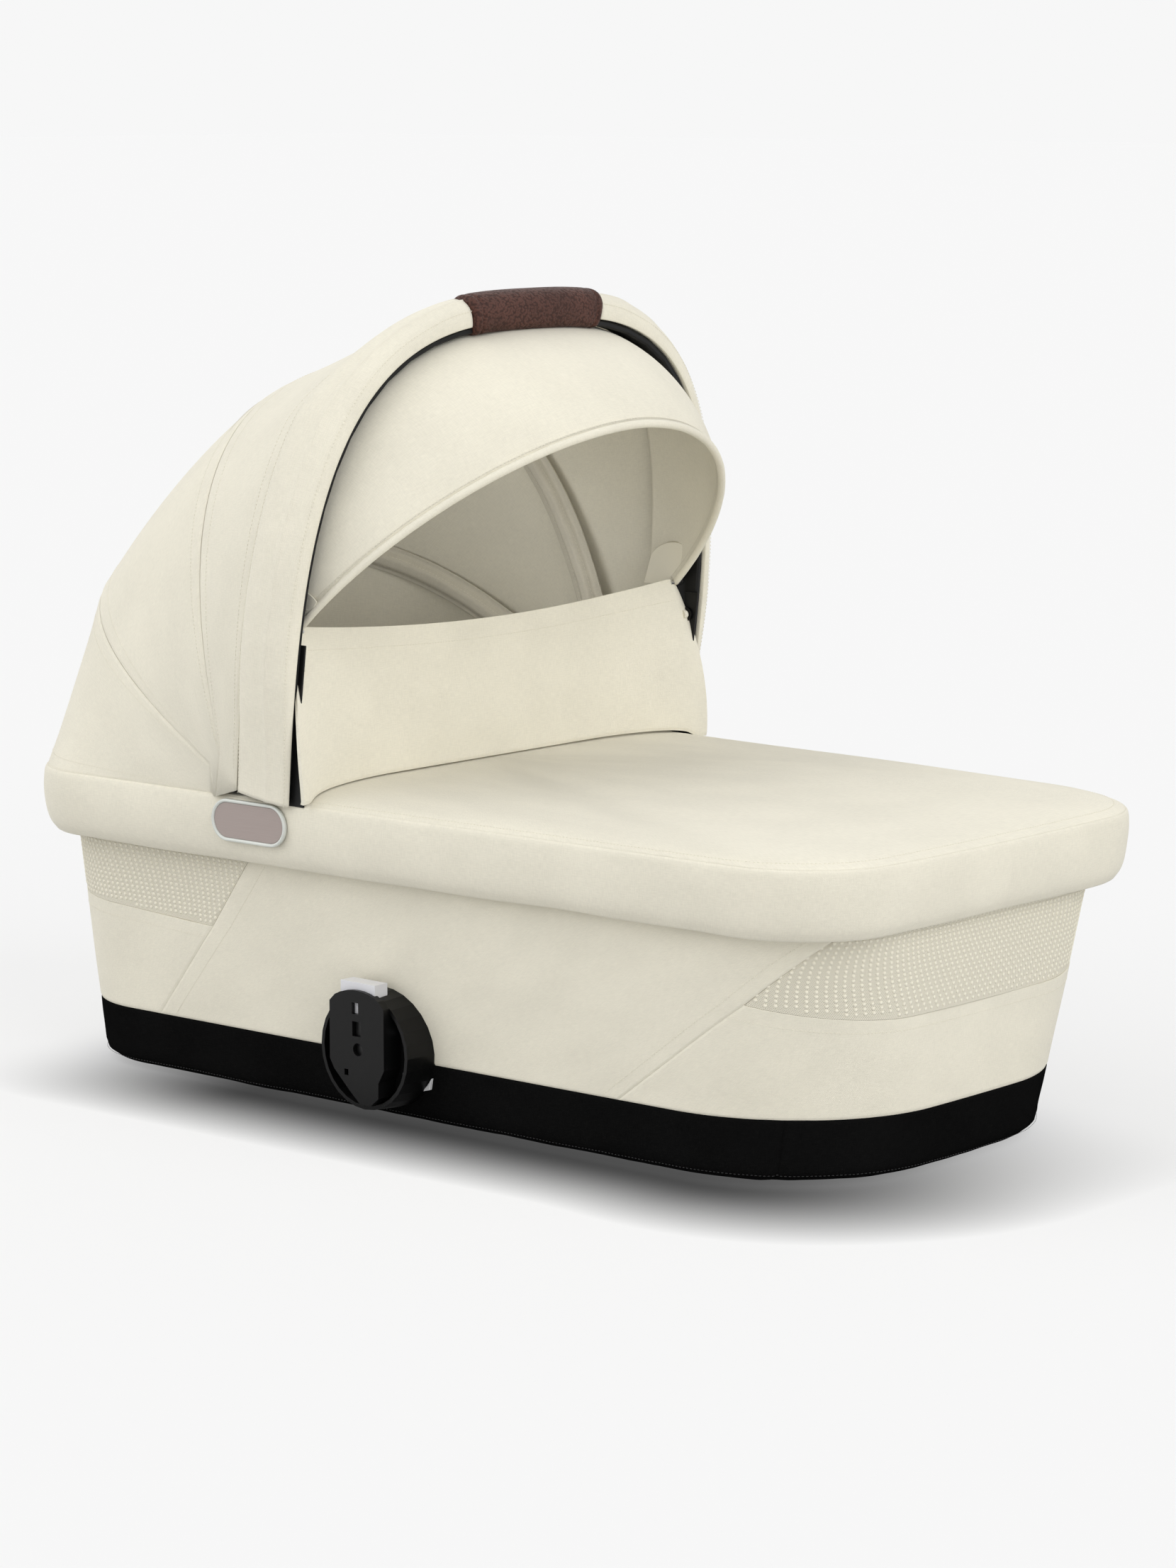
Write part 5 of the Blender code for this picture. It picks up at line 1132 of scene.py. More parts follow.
class CARRYCOT_OT_base_band(bpy.types.Operator):
    """Black fabric band round the base, with its side seams and a corded lower edge"""

    bl_idname = "carrycot.base_band"
    bl_label = "Base band"

    def execute(self, context):
        sewing = context.scene.carrycot_sewing
        rows = [wall_ring(WALL_FOOT, BOOT_EDGE_RADIUS + BOOT_FLANGE)]
        rows[0][:, 2] = WALL_FOOT - BOOT_EDGE_RADIUS
        for angle in np.linspace(math.pi / 2, 0, 9):
            line = wall_ring(WALL_FOOT, BOOT_EDGE_RADIUS * (1 - math.cos(angle)))
            line[:, 2] = WALL_FOOT - BOOT_EDGE_RADIUS * math.sin(angle)
            rows.append(line)
        heights = mix(WALL_FOOT, BOOT_TOP, close_to_edges(18, BOOT_TOP - WALL_FOOT))
        rows += [wall_ring(z, 0) for z in heights[3:]]
        loops = [Loop(line) for line in rows]
        length = loops[-1].length
        seam = loops[-1].where(BOOT_SEAM_X) / length
        fine = np.array([-s for s in BOOT_SEAM_STEPS] + [0, *BOOT_SEAM_STEPS]) / length
        shares = np.concatenate([np.linspace(0, 1, 420, endpoint=False), seam + fine, 1 - seam + fine])
        shares = np.unique(np.round(shares, 7))
        points = np.array([loop.at(shares * loop.length) for loop in loops])
        normal = normals_of(points, (0, 0, 0.1), wrap=True)
        up = reach_along(points[:, 0])[:, None]
        from_top = up[-1] - up
        shift = 0.0008 * ridge(up - up[BOOT_CORD_ROW], 0.0014) - 0.0008 * (1 - smooth(from_top / 0.0022))
        for place in (seam, 1 - seam):
            off = ((shares - place) * length)[None, :]
            shift = shift - 0.0009 * ridge(off, 0.0011) * smooth(up / 0.01)
            shift = shift + 0.0006 * ridge(np.abs(off) - 0.011, 0.008) * smooth(up / 0.02)
        shift = shift + 0.0009 * rippled(points, 16.0, 3) * smooth(up / 0.015) * smooth(from_top / 0.01)
        shift = shift + 0.0003 * rippled(points, 70.0, 4) * smooth(up / 0.01)
        shift[:3] = 0
        points = points + normal * shift[..., None]
        band = thicken(piece_from("base_band", points, (0, 0, 0.1), wrap=True), sewing.cloth)
        finished(band, finish("boot"), "cot", "black_fabric", "boot_band")
        declare_cloth(points)
        line = lifted(points[BOOT_CORD_ROW], normal[BOOT_CORD_ROW], 0.0012)
        stitches("base_band_stitches", [line], "black_thread", "cot", "black_fabric", closed=True)
        return {"FINISHED"}


class CARRYCOT_OT_side_cover(bpy.types.Operator):
    """Cream side cover in sewn panels, with a mesh vent at the head and the foot"""

    bl_idname = "carrycot.side_cover"
    bl_label = "Side cover"

    def execute(self, context):
        sewing = context.scene.carrycot_sewing
        centre = (0, 0, 0.1)
        panels = cover_panels()
        cuts = (("side_cover_left", "left", BOOT_TOP, COVER_TOP, 60),
                ("side_cover_right", "right", BOOT_TOP, COVER_TOP, 60),
                ("side_cover_foot", "foot", BOOT_TOP, FOOT_VENT_EDGE, 34),
                ("side_cover_head", "head", BOOT_TOP, HEAD_VENT_EDGE, 34))
        rows = []
        for seed, (name, panel, low, high, count) in enumerate(cuts, 2):
            along_side = panel in ("left", "right")
            seams = ("left", "right", "low", "high") if along_side else ("left", "right", "low")
            flat = panels[panel].between(low, high, count)
            points = sewn(flat, centre, seams, soft=0.0016, scale=8.0, seed=seed)
            made = thicken(piece_from(name, points, centre), sewing.cloth)
            finished(made, finish("cream"), "cot", "cream_fabric",
                     *(("side_cover",) if name == "side_cover_left" else ()))
            declare_cloth(points)
            line = lifted(points, normals_of(points, centre), STITCH_LIFT)
            if along_side:
                rows += [line[4:-5, column] for column in STITCH_ROWS]
            else:
                rows.append(line[VENT_STITCH_ROW, 4:-5])
        stitches("side_cover_stitches", rows, "cream_thread", "cot", "cream_fabric")

        for panel, edge in (("foot", FOOT_VENT_EDGE), ("head", HEAD_VENT_EDGE)):
            name = "vent_" + panel
            flat = panels[panel].between(edge, COVER_TOP, 26)
            points = sewn(flat, centre, ("left", "right"), depth=0.0008, soft=0.0008, seed=9, pucker=0)
            points = points - normals_of(points, centre) * 0.0004
            ground = thicken(piece_from(name, points, centre), 0.0010)
            finished(ground, finish("vent"), "cot", "cream_mesh", "vent_mesh_" + panel)
            declare_cloth(points)
            self.knots(name + "_knots", points, centre, sewing.knot)
        return {"FINISHED"}

    def knots(self, name, points, centre, pitch):
        """Raised knots in offset rows over the vent."""
        normal = normals_of(points, centre)
        reach = np.cumsum(np.linalg.norm(np.diff(points, axis=1), axis=2).mean(axis=0))
        reach = np.concatenate(([0.0], reach))
        row_pitch = pitch * KNOT_ROW_SHARE
        top, bottom = points[..., 2].max(), points[..., 2].min()
        spots, facings = [], []
        for number, along in enumerate(np.arange(0, reach[-1], pitch / 2)):
            share = np.interp(along, reach, np.arange(len(reach)))
            low = int(share)
            high = min(low + 1, points.shape[1] - 1)
            column = mix(points[:, low], points[:, high], share - low)
            facing = mix(normal[:, low], normal[:, high], share - low)
            offset = row_pitch / 2 if number % 2 else 0
            for z in np.arange(bottom + offset, top, row_pitch):
                if column[1, 2] + KNOT_MARGIN < z < column[-1, 2]:
                    spots.append([np.interp(z, column[:, 2], column[:, i]) for i in range(3)])
                    facings.append([np.interp(z, column[:, 2], facing[:, i]) for i in range(3)])
        mesh = bpy.data.meshes.new(name)
        mesh.from_pydata(np.array(spots).tolist(), [], [])
        layer = mesh.attributes.new("facing", "FLOAT_VECTOR", "POINT")
        layer.data.foreach_set("vector", unit(np.array(facings)).astype(np.float32).ravel())
        tree, sockets = bead_tree("Vent knots", ("Width", "Height"), on_points, "Z",
                                  ("Width", "Width", "Height"))
        made = with_tree(object_from(name, mesh), tree, sockets, {
            "Width": pitch * KNOT_WIDTH_SHARE, "Height": KNOT_HEIGHT, "Material": finish("knots")})
        finished(made, finish("knots"), "cot", "cream_mesh")


def apron_height(points):
    """Height of the crowned apron over points given as X and Y."""
    top = rim_ring(RIM_TOP, RIM_TOP_INSET)
    turn = np.arctan2(top[:, 1], top[:, 0])
    order = np.argsort(turn)
    radius = np.linalg.norm(top[:, :2], axis=1)
    towards_point = np.arctan2(points[..., 1], points[..., 0])
    edge = np.interp(towards_point, turn[order], radius[order], period=2 * math.pi)
    share = np.linalg.norm(points[..., :2], axis=-1) / edge
    fine = curve_through(APRON_SHARES, 8)
    return RIM_TOP + APRON_CROWN * np.clip(np.interp(share, fine[:, 0], fine[:, 1]), 0, 1)


class CARRYCOT_OT_rim(bpy.types.Operator):
    """Soft band sewn round the rim, its inner lip at the head, and the apron over the foot half"""

    bl_idname = "carrycot.rim"
    bl_label = "Rim band and apron"

    def execute(self, context):
        sewing = context.scene.carrycot_sewing
        centre = (0, 0, 0.16)
        profile = curve_through(RIM_LINES, 6)
        rows = [Loop(wall_ring(RIM_LINES[0][0] - RIM_TUCK_Z, -RIM_TUCK_DEPTH))]
        rows += [Loop(rim_ring(z, inset)) for z, inset in (*RIM_UNDER_LINES, *profile)]
        top = rows[-1]
        for share in RIM_SEAM_SHARES:
            rows.insert(-1, Loop(mix(top.points[:-1], rows[-2].points[:-1], share)))
        shares = np.linspace(0, 1, 760, endpoint=False)
        flat = np.array([loop.at(shares * loop.length) for loop in rows])
        points = sewn(flat, centre, ("high",), wrap=True, soft=0.0014, scale=11.0, seed=21, pucker=0.0004)
        band = thicken(piece_from("rim_band_skin", points, centre, wrap=True), sewing.cloth)
        finished(band, finish("cream"), "cot", "cream_fabric", "rim_band")
        declare_cloth(points)

        head = top.where(BAND_REAR_X) / top.length
        lip_shares = np.linspace(head, 1 - head, 300)
        lips = [Loop(rim_ring(z, inset)) for z, inset in curve_through(RIM_LIP_LINES, 5)]
        flat = np.array([loop.at(lip_shares * loop.length) for loop in lips])
        lip_points = sewn(flat, (0, 0, 0), ("low",), soft=0.0004, seed=23)
        lip = thicken(piece_from("rim_lip", lip_points, (0, 0, 0)), sewing.cloth)
        finished(lip, finish("cream"), "cot", "cream_fabric")
        declare_cloth(lip_points)

        along = np.linspace(-head, head, 420)
        edge = top.at(along * top.length)
        middle = np.array((BAND_REAR_X, 0, RIM_TOP))
        below = (0, 0, -1.0)
        reach = close_to_edges(90, 0.30)
        reach = reach[reach < APRON_LAST_RING]
        flat = np.array([mix(edge, middle, r) for r in reach] + [np.broadcast_to(middle, edge.shape)])
        flat[..., 2] = apron_height(flat)
        points = sewn(flat, below, ("low",), soft=0.0011, scale=6.0, seed=25, pucker=0.0004)
        points[-1] = points[-1].mean(axis=0)
        apron = piece_from("apron_top", points, below)
        shape = bmesh.new()
        shape.from_mesh(apron.data)
        bmesh.ops.remove_doubles(shape, verts=shape.verts[:], dist=1e-6)
        shape.to_mesh(apron.data)
        shape.free()
        thicken(apron, sewing.cloth)
        finished(apron, finish("cream"), "cot", "cream_fabric", "apron")
        line = lifted(points[6], normals_of(points, below)[6], 0.00012)
        stitches("apron_stitches", [line], "cream_thread", "cot", "cream_fabric")
        return {"FINISHED"}


def flap_face(count_across=170, count_up=70):
    """Grid of the wind flap's front face, from its foot to its top edge."""
    rise, across = np.meshgrid(close_to_edges(count_up, FLAP_SEAM_HEIGHT),
                               np.linspace(-1, 1, count_across), indexing="ij")
    half = mix(FLAP_HALF_BASE, FLAP_HALF_TOP, rise ** FLAP_NARROWING) + FLAP_BULGE * np.sin(math.pi * rise)
    y = across * half
    bend = np.maximum(0, np.abs(y) - FLAP_BEND_START) / (half - FLAP_BEND_START)
    base_x = mix(FLAP_MIDDLE_X, FLAP_HINGE_X, bend ** FLAP_BEND_POWER)
    top_x = mix(FLAP_TOP_X, FLAP_END_TOP_X, bend ** FLAP_BEND_POWER)
    corner = np.maximum(0, np.abs(across) - FLAP_CORNER_SHARE) / (1 - FLAP_CORNER_SHARE)
    top_z = mix(FLAP_MIDDLE_TOP, FLAP_END_TOP, across * across) - FLAP_CORNER_DROP * corner * corner
    foot = apron_height(np.stack([base_x, y], axis=-1)) + FLAP_CLEARANCE
    return np.stack([mix(base_x, top_x, rise ** FLAP_RISE_POWER), y, mix(foot, top_z, rise)], axis=-1)


class CARRYCOT_OT_wind_flap(bpy.types.Operator):
    """Wind flap standing on the apron, with a rounded top edge and a tab at each popper"""

    bl_idname = "carrycot.wind_flap"
    bl_label = "Wind flap"

    def execute(self, context):
        centre = (-0.5, 0, 0.29)
        flat = flap_face()
        points = sewn(flat, centre, ("low",), soft=0.0016, scale=9.0, seed=31, pucker=0.0005)
        flap = thicken(piece_from("wind_flap_cloth", points, centre), FLAP_THICKNESS - 0.0003)
        soften(flap, 0.0011, 3)
        finished(flap, finish("cream"), "flap", "cream_fabric", "wind_flap")
        declare_cloth(points)
        line = lifted(points, normals_of(points, centre), STITCH_LIFT)[FLAP_STITCH_ROW, 6:-6]
        stitches("wind_flap_stitches", [line], "cream_thread", "flap", "cream_fabric")
        for name, side in SIDES:
            low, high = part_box("popper_socket_" + name)
            inner = min(abs(low.y), abs(high.y)) - GAP
            profile = [(inner + out, radius) for out, radius in FLAP_TAB]
            tab = turned("flap_tab_" + name, profile, (low + high) / 2, side)
            finished(tab, finish("cream_folded"), "flap", "cream_fabric")
        return {"FINISHED"}


def closed_piece(name, shape, edge):
    """Object from a closed shape, its faces outwards and its edges rounded."""
    bmesh.ops.recalc_face_normals(shape, faces=shape.faces[:])
    mesh = bpy.data.meshes.new(name)
    shape.to_mesh(mesh)
    shape.free()
    mesh.shade_smooth()
    return soften(object_from(name, mesh), edge)


def turned(name, profile, middle, side, steps=40):
    """Turned shape about a line along Y: profile gives distances from the middle plane and radii."""
    shape = bmesh.new()
    rings = []
    for y, radius in profile:
        turns = np.linspace(0, 2 * math.pi, steps, endpoint=False) if radius > 0 else (0.0,)
        rings.append([shape.verts.new((middle[0] + radius * math.cos(turn), side * y,
                                       middle[2] + radius * math.sin(turn))) for turn in turns])
    for low, high in zip(rings, rings[1:]):
        for n in range(steps):
            m = n + 1
            corners = [low[n % len(low)], low[m % len(low)], high[m % len(high)], high[n % len(high)]]
            shape.faces.new(list(dict.fromkeys(corners)))
    return closed_piece(name, shape, 0.0004)


def wedge(name, corners, side, inner, outer):
    """Flat plate across Y whose outline is given as X and Z."""
    shape = bmesh.new()
    faces = [[shape.verts.new((x, side * y, z)) for x, z in corners] for y in (inner, outer)]
    shape.faces.new(faces[0])
    shape.faces.new(faces[1][::-1])
    for n in range(len(corners)):
        m = (n + 1) % len(corners)
        shape.faces.new((faces[0][n], faces[1][n], faces[1][m], faces[0][m]))
    return closed_piece(name, shape, 0.0005)


def capped(piece, turn_over=False):
    """Close both ends of a tube, after turning its faces over where they point inwards."""
    shape = bmesh.new()
    shape.from_mesh(piece.data)
    if turn_over:
        bmesh.ops.reverse_faces(shape, faces=shape.faces[:])
    bmesh.ops.holes_fill(shape, edges=[e for e in shape.edges if e.is_boundary])
    shape.to_mesh(piece.data)
    shape.free()
    return piece


def tube(name, points, middle):
    """Closed tube from a grid whose columns run round it; middle is the line along its inside."""
    made = piece_from(name, points, (0, 0, 0), wrap=True)
    half = len(points) // 2
    face = made.data.polygons[half * points.shape[1]]
    return capped(made, turn_over=face.normal.dot(face.center - Vector(middle[half])) < 0)


class CARRYCOT_OT_handle(bpy.types.Operator):
    """Cream sleeve on each leg of the handle and the leather grip on top, with their stitching"""

    bl_idname = "carrycot.handle"
    bl_label = "Handle sleeves and grip"

    def execute(self, context):
        point, across, outward = handle_frames(360)
        self.sleeves(point, across, outward)
        self.feet(point, outward)
        self.grip(point, across)
        return {"FINISHED"}

    def sleeves(self, point, across, outward):
        """Padded sleeve on each leg, sewn along both of its edges."""
        width, thickness, _ = handle_size(point[:, 2])
        section = curve_through(SLEEVE_SHARES, 4)
        floor = np.linspace(SLEEVE_SHARES[-1][0], 0.0, 14)[1:-1]
        section = np.vstack([section, np.column_stack([floor, np.zeros_like(floor)])])
        lift = np.clip(section[:, 1], 0, 1)
        for name, side in SIDES:
            leg = side * point[:, 1] > GRIP_HALF + 2 * GAP
            p, o, w, t = point[leg], outward[leg], width[leg, None], thickness[leg, None]
            grid = (p[:, None] - across * (section[None, :, :1] * w[:, None])
                    + o[:, None] * (section[None, :, 1:] * t[:, None]))
            shift = 0.0012 * rippled(grid, 14.0, 40 + side) + 0.0004 * rippled(grid, 60.0, 43 + side)
            shift = shift + 0.0012 * (ridge(section[:, 0] - SLEEVE_RIDGE, 0.045) * lift)[None, :]
            grid = grid + o[:, None] * (shift * lift[None, :])[..., None]
            middle = p - across * (0.5 * w) + o * (0.5 * t)
            sleeve = tube("handle_sleeve_%s_cloth" % name, grid, middle)
            finished(sleeve, finish("cream"), "handle", "cream_fabric", "handle_sleeve_" + name)
            lines = [p - across * (b * w) + o * (n * t + 0.0005) for b, n in SLEEVE_STITCHES]
            stitches("handle_sleeve_%s_stitches" % name, lines, "cream_thread", "handle", "cream_fabric")

    def feet(self, point, outward):
        """Black foot along the front of each leg's lower end."""
        for name, side in SIDES:
            top = np.argmin(np.abs(point[:, 2] - LEG_FOOT_TOP) + (side * point[:, 1] < 0))
            inner = abs((point[top] - outward[top] * (CORE_THICKNESS + GAP))[1])
            low, middle, high = [HANDLE_X + (z - HANDLE_Z) * math.tan(-HANDLE_ANGLE)
                                 for z in (HANDLE_FOOT_Z, LEG_FOOT_MIDDLE, LEG_FOOT_TOP)]
            corners = [(low - LEG_FOOT_DEPTH, HANDLE_FOOT_Z), (LEG_FOOT_FRONT, HANDLE_FOOT_Z),
                       (LEG_FOOT_FRONT - 0.0025, HANDLE_FOOT_Z + 0.0120),
                       (middle + 0.0010, LEG_FOOT_MIDDLE), (high + 0.0008, LEG_FOOT_TOP),
                       (high - LEG_FOOT_DEPTH, LEG_FOOT_TOP)]
            foot = wedge("leg_foot_" + name, corners, side, inner - LEG_FOOT_THICKNESS, inner)
            finished(foot, finish("core"), "handle", "black_plastic")

    def grip(self, point, across):
        """Leather grip on top, rounded at its ends, with a sewn groove near each and a seam below."""
        kept = np.abs(point[:, 1]) < GRIP_HALF
        ends = [np.array([np.interp(s * GRIP_HALF, point[:, 1], point[:, i]) for i in range(3)])
                for s in (-1, 1)]
        p = even(np.vstack([ends[0], point[kept], ends[1]]), 120)
        o = arch_frames(p, HANDLE_ANGLE)[2]
        half_width, mid_b = (GRIP_FRONT + GRIP_REAR) / 2, (GRIP_FRONT - GRIP_REAR) / 2
        turn = np.linspace(0, 2 * math.pi, GRIP_COLUMNS, endpoint=False)
        upper = np.sin(turn) >= 0
        square = 2 / np.where(upper, 2.3, 3.6)
        height = np.where(upper, GRIP_TOP - GRIP_MIDDLE, GRIP_BOTTOM + GRIP_MIDDLE)
        b = np.copysign(np.abs(np.cos(turn)) ** square, np.cos(turn)) * half_width
        n = np.copysign(np.abs(np.sin(turn)) ** square, np.sin(turn)) * height
        from_end = np.minimum(reach_along(p), reach_along(p[::-1])[::-1])
        full = np.sqrt(np.clip(1 - (1 - np.clip(from_end / GRIP_ROUNDING, 0, 1)) ** 2, 0, 1))
        scale = mix(0.70, 1.0, full)
        groove = GRIP_GROOVE_DEPTH * ridge(from_end - GRIP_GROOVE, 0.0012)
        wide = (scale * (1 - groove / half_width))[:, None]
        high = (scale * (1 - groove / GRIP_HALF_HEIGHT))[:, None]
        grid = (p[:, None] + across * (mid_b + b * wide)[..., None]
                + o[:, None] * (GRIP_MIDDLE + n * high)[..., None])
        grip = tube("grip_leather", grid, p + across * mid_b + o * GRIP_MIDDLE)
        finished(grip, finish("leather"), "handle", "leather", "grip")
        first = np.argmin(np.abs(from_end[:len(p) // 2] - GRIP_GROOVE))
        last = len(p) - 1 - first
        bottom = GRIP_COLUMNS * 3 // 4
        lines = [np.vstack([grid[row], grid[row][:1]]) for row in (first, last)]
        lines.append(grid[first:last + 1, bottom] - o[first:last + 1] * 0.0002)
        stitches("grip_stitches", lines, "leather_thread", "handle", "leather")


def seam_over_bow(bow, half, reach_extra, foot_x, turn, steps):
    """Sewn line of the hood's fabric over a bow, down to the rim."""
    angle, reach, _, square, _ = bow
    line = arch(PIVOT[0], PIVOT[2], angle + turn, half, reach + reach_extra, square,
                start=FABRIC_START, steps=steps)
    feet = [np.array((foot_x, side * half, FABRIC_FOOT_Z)) for _, side in SIDES]
    return np.vstack([feet[0], line, feet[1]])


def hood_lines(steps=200):
    """Lines of the hood's fabric: handle, both sides of the two bow seams, rim; all with as many points."""
    extra = BOW_THICKNESS / 2 + BOW_CLEARANCE + FABRIC
    turn = SEAM_GAP / MIDDLE_BOW[1]
    point, across, outward = handle_frames(400)
    width, thickness, _ = handle_size(point[:, 2])
    lift = np.maximum(FABRIC + GAP, FABRIC_LIFT * thickness)
    handle = even(point - across * (width + SLEEVE_SEAM)[:, None] + outward * lift[:, None], steps + 2)
    seams = [seam_over_bow(bow, half, extra, foot_x + way * SEAM_GAP, -way * turn, steps)
             for bow, half, foot_x in ((MIDDLE_BOW, FABRIC_HALF, MIDDLE_FOOT_X),
                                       (REAR_BOW, REAR_FABRIC_HALF, REAR_FOOT_X))
             for way in (1, -1)]
    rim = Loop(rim_ring(FABRIC_FOOT_Z, RIM_TOP_INSET))
    start = rim.where(RIM_FOOT_X)
    return handle, *seams, rim.at(np.linspace(rim.length - start, start, steps + 3))


def rows_between(first, last, shares, swell):
    """Rows from one line to another, swelling outwards from the pivot in between."""
    shares = shares[:, None, None]
    rows = mix(first[None], last[None], shares)
    out = rows - PIVOT
    out[..., 1] = 0
    return rows + out * (swell * 4 * shares * (1 - shares))


class CARRYCOT_OT_hood(bpy.types.Operator):
    """Three fabric panels of the hood, sewn over the bows, and the cloth channels that hold the bows"""

    bl_idname = "carrycot.hood"
    bl_label = "Hood"

    def execute(self, context):
        handle, ahead, behind, rear_ahead, rear_behind, rim = hood_lines()
        centre = (-0.10, 0, 0.26)
        seams = []
        for seed, name, first, last, swell, bodies, length in (
                (50, "canopy_front", handle, ahead, 0.0, ("handle", "middle_bow"), 0.07),
                (51, "canopy_middle", behind, rear_ahead, 0.030, ("middle_bow", "rear_bow"), 0.2),
                (52, "canopy_rear", rear_behind, rim, 0.0, ("rear_bow", "cot"), 0.15)):
            shares = close_to_edges(44, length)
            flat = rows_between(first, last, shares, swell)
            points = sewn(flat, centre, ("low", "high"), soft=0.0026, scale=6.5, seed=seed, pucker=0.0004)
            panel = plain(thicken(piece_from(name + "_cloth", points, centre), FABRIC - 0.0003))
            finished_panel(panel, points, shares, bodies, (points[0].mean(axis=0), points[-1].mean(axis=0)),
                           name)
            lines = lifted(points, normals_of(points, centre), STITCH_LIFT)
            seams += [("%s_stitches_%d" % (name, number), lines[row, 3:-3], shares[row], bodies)
                      for number, row in enumerate(STITCH_ROWS)]
        for name, line, share, bodies in seams:
            made = painted(stitch_beads(name, [line], "cream_thread"), finish("cream_thread"))
            between_bodies(made, np.full(len(made.data.vertices), share), *bodies, line[0], line[-1])
        self.channel("middle_bow_channel", MIDDLE_BOW, "middle_bow", 0.0135, 61)
        self.channel("rear_bow_channel", REAR_BOW, "rear_bow", 0.0120, 62)
        return {"FINISHED"}

    def channel(self, name, bow, body, half_width, seed):
        """Strip of cloth sewn under the hood that wraps its bow."""
        angle, reach, half, square, splay = bow
        path = arch(PIVOT[0], PIVOT[2], angle, half, reach, square, splay=splay, start=CHANNEL_START,
                    steps=220)
        point, across, outward = arch_frames(path, angle)
        offsets = close_to_edges(22, 2 * half_width) * 2 * half_width - half_width
        bulge = np.exp(-(offsets / CHANNEL_BULGE_HALF) ** 4)
        depth = CHANNEL_LIFT * (1 - bulge) - CHANNEL_BULGE * bulge
        grid = point[None] + across * offsets[:, None, None] + outward[None] * depth[:, None, None]
        grid = grid + outward[None] * (0.0005 * rippled(grid, 45.0, seed))[..., None]
        strip = thicken(piece_from(name, grid, (-0.30, 0, 0.75)), 0.0010)
        finished(strip, finish("lining"), body, "lining_fabric")
        declare_cloth(grid)
        lines = [grid[row] - outward * 0.0016 for row in (8, -9)]
        stitches(name + "_stitches", lines, "cream_thread", body, "cream_fabric")


def finished_panel(panel, points, shares, bodies, places, node):
    """Paint doubled cloth, bake its place into its mesh, hide the CAD node that it stands for and measure
    its size.
    """
    painted(panel, finish("cream"))
    by_point = np.resize(np.repeat(shares, points.shape[1]), len(panel.data.vertices))
    between_bodies(panel, by_point, *bodies, *places)
    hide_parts(node)
    along = np.linalg.norm(np.diff(points, axis=1), axis=2)
    upward = np.linalg.norm(np.diff(points, axis=0), axis=2)
    width, length = float(along.sum(axis=1).max()), float(upward.sum(axis=0).max())
    area = float((along[:-1] * (upward[:, :-1] + upward[:, 1:]) / 2).sum())


